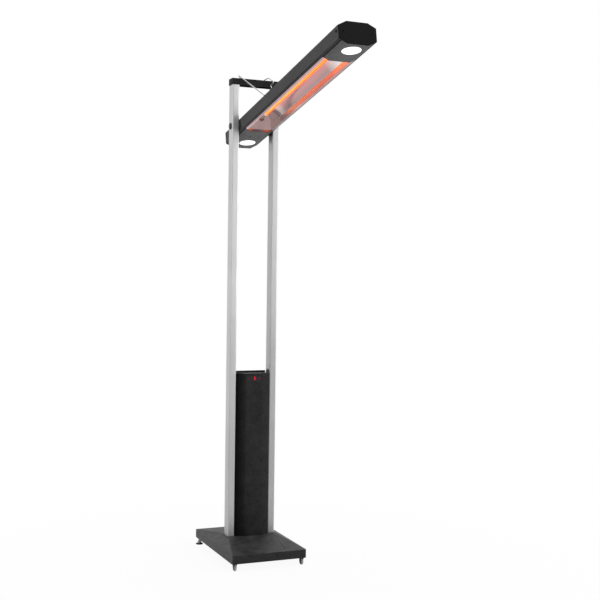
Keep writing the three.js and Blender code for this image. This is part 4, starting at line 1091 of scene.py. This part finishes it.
class HEATER_OT_reflector(bpy.types.Operator):
    """Polished trough and its end walls"""

    bl_idname = "heater.reflector"
    bl_label = "Reflector"
    bl_options = {"REGISTER", "UNDO"}

    mouth = 55.5 * MM
    depth = 62 * MM
    mouth_level = -31 * MM
    side_height = 24 * MM
    side_lean = math.radians(7.3)
    thickness = 1.5 * MM
    lip_inset = 10.9 * MM
    foot_gap = 0.6 * MM
    end_run = 53 * MM
    end_thickness = 1.2 * MM
    fit = 0.3 * MM

    def section(self):
        """The visible line of the sheet, from the left flange to the right one."""
        corner = Vector((HEAD_HALF_WIDTH, -BEVEL_LEVEL))
        lip = corner - BEVEL_RISE * self.lip_inset
        foot = corner - BEVEL_RISE * ((HEAD_HALF_WIDTH - self.mouth - self.foot_gap) / BEVEL_RISE.x)
        flange = [Vector((self.mouth, self.mouth_level)), foot, lip]
        curve = []
        count = sizes().trough_facets
        shoulder = self.mouth - self.side_height * math.tan(self.side_lean)
        rise = (self.depth - self.side_height) / shoulder**2
        for i in range(count + 1):
            x = shoulder * (2 * i / count - 1)
            curve.append(Vector((x, self.mouth_level + self.depth - rise * x * x)))
        return [Vector((-p.x, p.y)) for p in reversed(flange)] + curve + flange

    def outer(self, line):
        """The same line one sheet thickness further out."""
        ways = [(after - before).normalized() for before, after in zip(line, line[1:])]
        made = []
        for point, before, after in zip(line, ways[:1] + ways, ways + ways[-1:]):
            way = before + after
            scale = 2 / way.length_squared
            made.append(point + Vector((-way.y, way.x)) * scale * self.thickness)
        return made

    def start(self, level):
        """Where the sheet begins at a level: it follows the sloped end wall."""
        lean = max(0, level - self.mouth_level) * self.end_run / self.depth
        return WINDOW[0] + self.fit + max(0, lean - self.end_thickness - self.fit)

    def execute(self, context):
        line = self.section()
        loop = line + self.outer(line)[::-1]
        count = len(loop)
        mesh = bmesh.new()
        rows = []
        for at_front in (False, True):
            row = []
            for point in loop:
                along = sum(WINDOW) - self.start(point.y) if at_front else self.start(point.y)
                row.append(mesh.verts.new(on_head(point.x, along, point.y)))
            rows.append(row)
        for k in range(count):
            after = (k + 1) % count
            mesh.faces.new((rows[0][k], rows[0][after], rows[1][after], rows[1][k]))
        for row in rows:
            for k in range(len(line) - 1):
                mesh.faces.new((row[k], row[k + 1], row[count - 2 - k], row[count - 1 - k]))
        bmesh.ops.recalc_face_normals(mesh, faces=mesh.faces)
        sheet = (mirror_sheet, "mirror_aluminium", ("reflector",))
        make_piece("reflector_finished", mesh, "head", *sheet, rounding=0, smooth=20)
        for word in ENDS:
            dressed(f"reflector_end_{word}", "head", mirror_end, "mirror_aluminium", 0.2 * MM, 20)
        return {"FINISHED"}


class HEATER_OT_tube(bpy.types.Operator):
    """Heating tube: quartz, glowing coil, leads and holders"""

    bl_idname = "heater.tube"
    bl_label = "Heating tube"
    bl_options = {"REGISTER", "UNDO"}

    def execute(self, context):
        inset, outer, inner = 12 * MM, 8 * MM, 6.8 * MM
        start, end = WINDOW[0] + inset, WINDOW[1] - inset
        place = HEAD @ Matrix.Translation((0, 0, TUBE_LEVEL)) @ ALONG_Y
        wall = [(inner, start), (outer, start), (outer, end), (inner, end), (inner, start)]
        lathed("quartz_tube", wall, place, "head", quartz_glass, "quartz", 0.4 * MM, 48)
        s = sizes()
        inputs = {
            "Length": GLOW[1] - GLOW[0], "Radius": s.coil_radius, "Pitch": s.coil_pitch,
            "Wire": s.coil_wire, "Finish": once(glowing_coil),
        }
        coil = grow("heating_coil", bmesh.new(), coil_tree(), inputs, "head")
        coil.data.transform(place @ Matrix.Translation((0, 0, GLOW[0])))
        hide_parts("filament")
        for word, a, b in (("rear", start, GLOW[0]), ("front", GLOW[1], end)):
            points = [on_head(0, a + (b - a) * k / 8, TUBE_LEVEL) for k in range(9)]
            lead = swept(points, 0.6 * MM, 16)
            make_piece(f"coil_lead_{word}", lead, "head", cool_lead, "filament_alloy", rounding=0)
        for word in ENDS:
            dressed(f"tube_holder_{word}", "head", fired_ceramic, "ceramic", 0.5 * MM)
        return {"FINISHED"}


class HEATER_OT_lamps(bpy.types.Operator):
    """Round lamps in the cover plates"""

    bl_idname = "heater.lamps"
    bl_label = "Lamps"
    bl_options = {"REGISTER", "UNDO"}

    def execute(self, context):
        from_front, from_rear = 60 * MM, 81 * MM
        opening, flange, sag = 36 * MM, 39 * MM, 2.2 * MM
        face, plate, thick = -HEAD_HALF_HEIGHT, 1.8 * MM, 2 * MM
        floor = face + plate
        lens = [(0, face - sag)]
        for k in range(1, 11):
            angle = k / 10 * math.pi / 2
            lens.append(((opening - 1 * MM) * math.sin(angle), face - sag * math.cos(angle)))
        lens += [(opening, face + 0.5 * MM), (opening, floor), (flange, floor)]
        lens += [(flange, floor + thick), (0, floor + thick)]
        for word, along in zip(ENDS, (HEAD_FRONT - from_front, from_rear - HEAD_REAR)):
            place = HEAD @ Matrix.Translation((0, -along, 0))
            lathed(f"lamp_lens_{word}", lens, place, "head", opal_diffuser, "opal_lens", sides=96)
        return {"FINISHED"}


class HEATER_OT_pivot(bpy.types.Operator):
    """Pivot bushes, bolts, hubs and caps"""

    bl_idname = "heater.pivot"
    bl_label = "Pivot"
    bl_options = {"REGISTER", "UNDO"}

    def span(self, node):
        """Where a turned piece begins and ends beside the middle, and its radius."""
        low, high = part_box(node)
        near, far = sorted((abs(low.x), abs(high.x)))
        return near, far, (high.z - low.z) / 2

    def bush(self, word, place):
        near, far, disc = self.span(f"pivot_bush_{word}")
        bore, sleeve, back = 6.3 * MM, 9.3 * MM, near + 2.9 * MM
        profile = [
            (bore, near), (disc - 1.5 * MM, near), (disc, near + 0.8 * MM), (disc, near + 2.1 * MM),
            (disc - 1.5 * MM, back), (sleeve, back), (sleeve, far), (bore, far), (bore, near),
        ]
        node = f"pivot_bush_{word}"
        lathed(node, profile, place, "frame", moulded_black, "black_plastic", 0.3 * MM, 96)

    def cap(self, word, place):
        near, far, rim = self.span(f"pivot_cap_{word}")
        well, roof = 11.3 * MM, far - 1.2 * MM
        profile = [
            (0, roof), (well, roof), (well, near), (rim, near), (rim, far - 1.6 * MM),
            (rim - 0.6 * MM, far - 0.7 * MM), (rim - 2 * MM, far - 0.2 * MM), (rim - 5 * MM, far), (0, far),
        ]
        node = f"pivot_cap_{word}"
        lathed(node, profile, place, "head", moulded_black, "black_plastic", 0.5 * MM)

    def execute(self, context):
        for word, side in zip(SIDES, (-1, 1)):
            outward = Matrix.Rotation(side * math.pi / 2, 4, "Y")
            place = Matrix.Translation((0, TOWER_Y, PIVOT_Z)) @ outward
            self.bush(word, place)
            self.cap(word, place)
            paint(zinc_steel, "plated_steel", f"pivot_bolt_{word}", f"pivot_hub_{word}")
        return {"FINISHED"}


class HEATER_OT_stay(bpy.types.Operator):
    """Wire stay hooked over the crossbar"""

    bl_idname = "heater.stay"
    bl_label = "Wire stay"
    bl_options = {"REGISTER", "UNDO"}

    def execute(self, context):
        wire, bend = 2.5 * MM, 7 * MM
        half, tip = 71 * MM, 57 * MM  # from the middle to the arms, and to the ends in the head
        eye = on_head(0, 318 * MM, 31 * MM)
        bar_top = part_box("crossbar")[1].z
        bar_front = TOWER_Y - 25 * MM
        behind_bar = TOWER_Y + 30 * MM
        over = bar_top + wire + 1 * MM
        slope = (over - eye.z) / (bar_front - eye.y)

        def arm(y):
            return Vector((0, y, eye.z + slope * (y - eye.y)))

        hump = arm(bar_front + (bar_top + 19.5 * MM - over) / slope)
        shoulder = Vector((0, behind_bar, hump.z - 6 * MM))
        hook = Vector((0, behind_bar, bar_top + 3.6 * MM))
        kink_top = arm(bar_front - 27 * MM)
        kink_back = Vector((0, bar_front - 3.6 * MM, over - 25 * MM))
        kink_low = Vector((0, bar_front - 16 * MM, over - 38.5 * MM))

        def at(point, x):
            return Vector((x, point.y, point.z))

        corners = [
            at(eye, -tip), at(eye, -half), at(hump, -half), at(shoulder, -half + 10.5 * MM),
            at(hook, -half + 29.4 * MM), at(hook, half - 29.4 * MM), at(shoulder, half - 10.5 * MM),
            at(hump, half), at(kink_top, half - 1 * MM), at(kink_back, half - 7 * MM),
            at(kink_low, half - 5 * MM), at(eye, half), at(eye, tip),
        ]
        mesh = swept(bent(corners, bend), wire, 20)
        make_piece("wire_stay_finished", mesh, "stay", drawn_wire, "plated_steel", ("wire_stay",), 0)
        return {"FINISHED"}


class HEATER_OT_stage(bpy.types.Operator):
    """Floor, studio light and camera"""

    bl_idname = "heater.stage"
    bl_label = "Stage"
    bl_options = {"REGISTER", "UNDO"}

    daylight = 0.55  # what the white surroundings add to the light
    floor_half = 9

    def execute(self, context):
        self.floor()
        self.world()
        self.lamps()
        self.camera()
        return {"FINISHED"}

    def floor(self):
        """White to the eye but for faint shadows by the tower, and mirrored white beyond it."""
        mesh = bmesh.new()
        bmesh.ops.create_grid(mesh, x_segments=2, y_segments=2, size=self.floor_half)
        floor = new_object("studio_floor", mesh)
        link(floor)
        f = Finish("studio_floor", roughness=0.7, base_color=(0.86, 0.86, 0.86))
        glow = f.node("ShaderNodeEmission", {"Color": (1, 1, 1, 1), "Strength": 1.0})
        rays = f.node("ShaderNodeLightPath").outputs
        seen = f.larger(rays["Is Camera Ray"], rays["Is Transmission Ray"])
        mirrored = f.times(rays["Is Glossy Ray"], f.between(f.dot(f.place, CAMERA_WAY), 0, 1, 0, 1.5))
        away = f.node("ShaderNodeVectorMath", {0: f.place}, operation="LENGTH").outputs["Value"]
        amount = f.times(f.larger(seen, mirrored), f.between(away, 0.94, 1, 0.4, 1.8))
        mix = f.node("ShaderNodeMixShader", {0: amount, 1: f.shader.outputs[0], 2: glow.outputs[0]})
        f.tree.links.new(mix.outputs[0], f.output.inputs[0])
        floor.data.materials.append(f.material)

    def world(self):
        """White to the eye; what it lights and mirrors is brighter to the right and above,
        and a bright wall stands on the left of what mirrors it."""
        world = bpy.data.worlds.new("studio")
        bpy.context.scene.world = world
        world.use_nodes = True
        world.node_tree.nodes.clear()
        w = Nodes(world.node_tree)
        rays = w.node("ShaderNodeLightPath").outputs
        seen = w.larger(rays["Is Camera Ray"], rays["Is Transmission Ray"])
        way = w.node("ShaderNodeTexCoord").outputs["Generated"]
        white = w.between(w.dot(way, (0.75, 0.55, 0.3)), 0.1, 1, -0.35, 0.45)
        wall = w.between(w.dot(way, (-0.95, -0.3, 0)), 0, 0.6, 0.2, 0.8)
        white = w.larger(w.larger(white, w.times(wall, rays["Is Glossy Ray"])), seen)
        share = w.between(w.larger(seen, rays["Is Glossy Ray"]), self.daylight, 1)
        inputs = {"Color": (1, 1, 1, 1), "Strength": w.times(white, share)}
        background = w.node("ShaderNodeBackground", inputs)
        output = w.node("ShaderNodeOutputWorld", {"Surface": background.outputs[0]})
        output.is_active_output = True

    def lamps(self):
        target = Vector((0, TOWER_Y - 200 * MM, 1.1))
        for name, place, size, power in (
            ("left", (-3.8, 0.8, 2.2), 3.6, 18),
            ("right", (3.4, -2.6, 2.2), 3.2, 60),
            ("top", (0.4, 0.2, 4.8), 4.0, 110),
        ):
            light = bpy.data.lights.new(name, "AREA")
            light.size = size
            light.energy = power
            obj = bpy.data.objects.new(name, light)
            link(obj)
            obj.location = place
            obj.rotation_mode = "QUATERNION"
            obj.rotation_quaternion = (target - Vector(place)).to_track_quat("-Z", "Y")

    def camera(self):
        ahead, right = CAMERA_WAY, Vector((CAMERA_WAY.y, -CAMERA_WAY.x, 0))
        look = ahead * math.cos(CAMERA_PITCH) + UP * math.sin(CAMERA_PITCH)
        above = UP * math.cos(CAMERA_PITCH) - ahead * math.sin(CAMERA_PITCH)
        side = right * math.cos(CAMERA_ROLL) + above * math.sin(CAMERA_ROLL)
        above = above * math.cos(CAMERA_ROLL) - right * math.sin(CAMERA_ROLL)
        camera = bpy.data.cameras.new("view")
        camera.sensor_width = SENSOR_WIDTH
        camera.lens = FOCAL_PIXELS * SENSOR_WIDTH / PICTURE_PIXELS
        camera.clip_end = 60
        obj = bpy.data.objects.new("view", camera)
        link(obj)
        turn = Matrix((side, above, -look)).transposed()
        obj.matrix_world = Matrix.Translation(CAMERA_PLACE) @ turn.to_4x4()
        bpy.context.scene.camera = obj


STEPS = (
    HEATER_OT_stage,
    HEATER_OT_base,
    HEATER_OT_casters,
    HEATER_OT_feet,
    HEATER_OT_posts,
    HEATER_OT_column,
    HEATER_OT_display,
    HEATER_OT_housing,
    HEATER_OT_reflector,
    HEATER_OT_tube,
    HEATER_OT_lamps,
    HEATER_OT_pivot,
    HEATER_OT_stay,
)


class HEATER_PT_pieces(bpy.types.Panel):
    bl_label = "Patio heater"
    bl_idname = "HEATER_PT_pieces"
    bl_space_type = "VIEW_3D"
    bl_region_type = "UI"
    bl_category = "Heater"

    def draw(self, context):
        for group in (context.scene.heater_sizes, context.scene.heater_colours):
            for key in group.__annotations__:
                self.layout.prop(group, key)
        for step in STEPS:
            self.layout.operator(step.bl_idname)


CLASSES = (HeaterSizes, HeaterColours, *STEPS, HEATER_PT_pieces)


def register():
    for each in CLASSES:
        bpy.utils.register_class(each)
    bpy.types.Scene.heater_sizes = PointerProperty(type=HeaterSizes)
    bpy.types.Scene.heater_colours = PointerProperty(type=HeaterColours)


def unregister():
    del bpy.types.Scene.heater_colours
    del bpy.types.Scene.heater_sizes
    for each in reversed(CLASSES):
        bpy.utils.unregister_class(each)


def main():
    register()
    bpy.context.scene.view_settings.view_transform = "Standard"
    for step in STEPS:
        group, name = step.bl_idname.split(".")
        getattr(getattr(bpy.ops, group), name)()


if __name__ == "__main__":
    main()
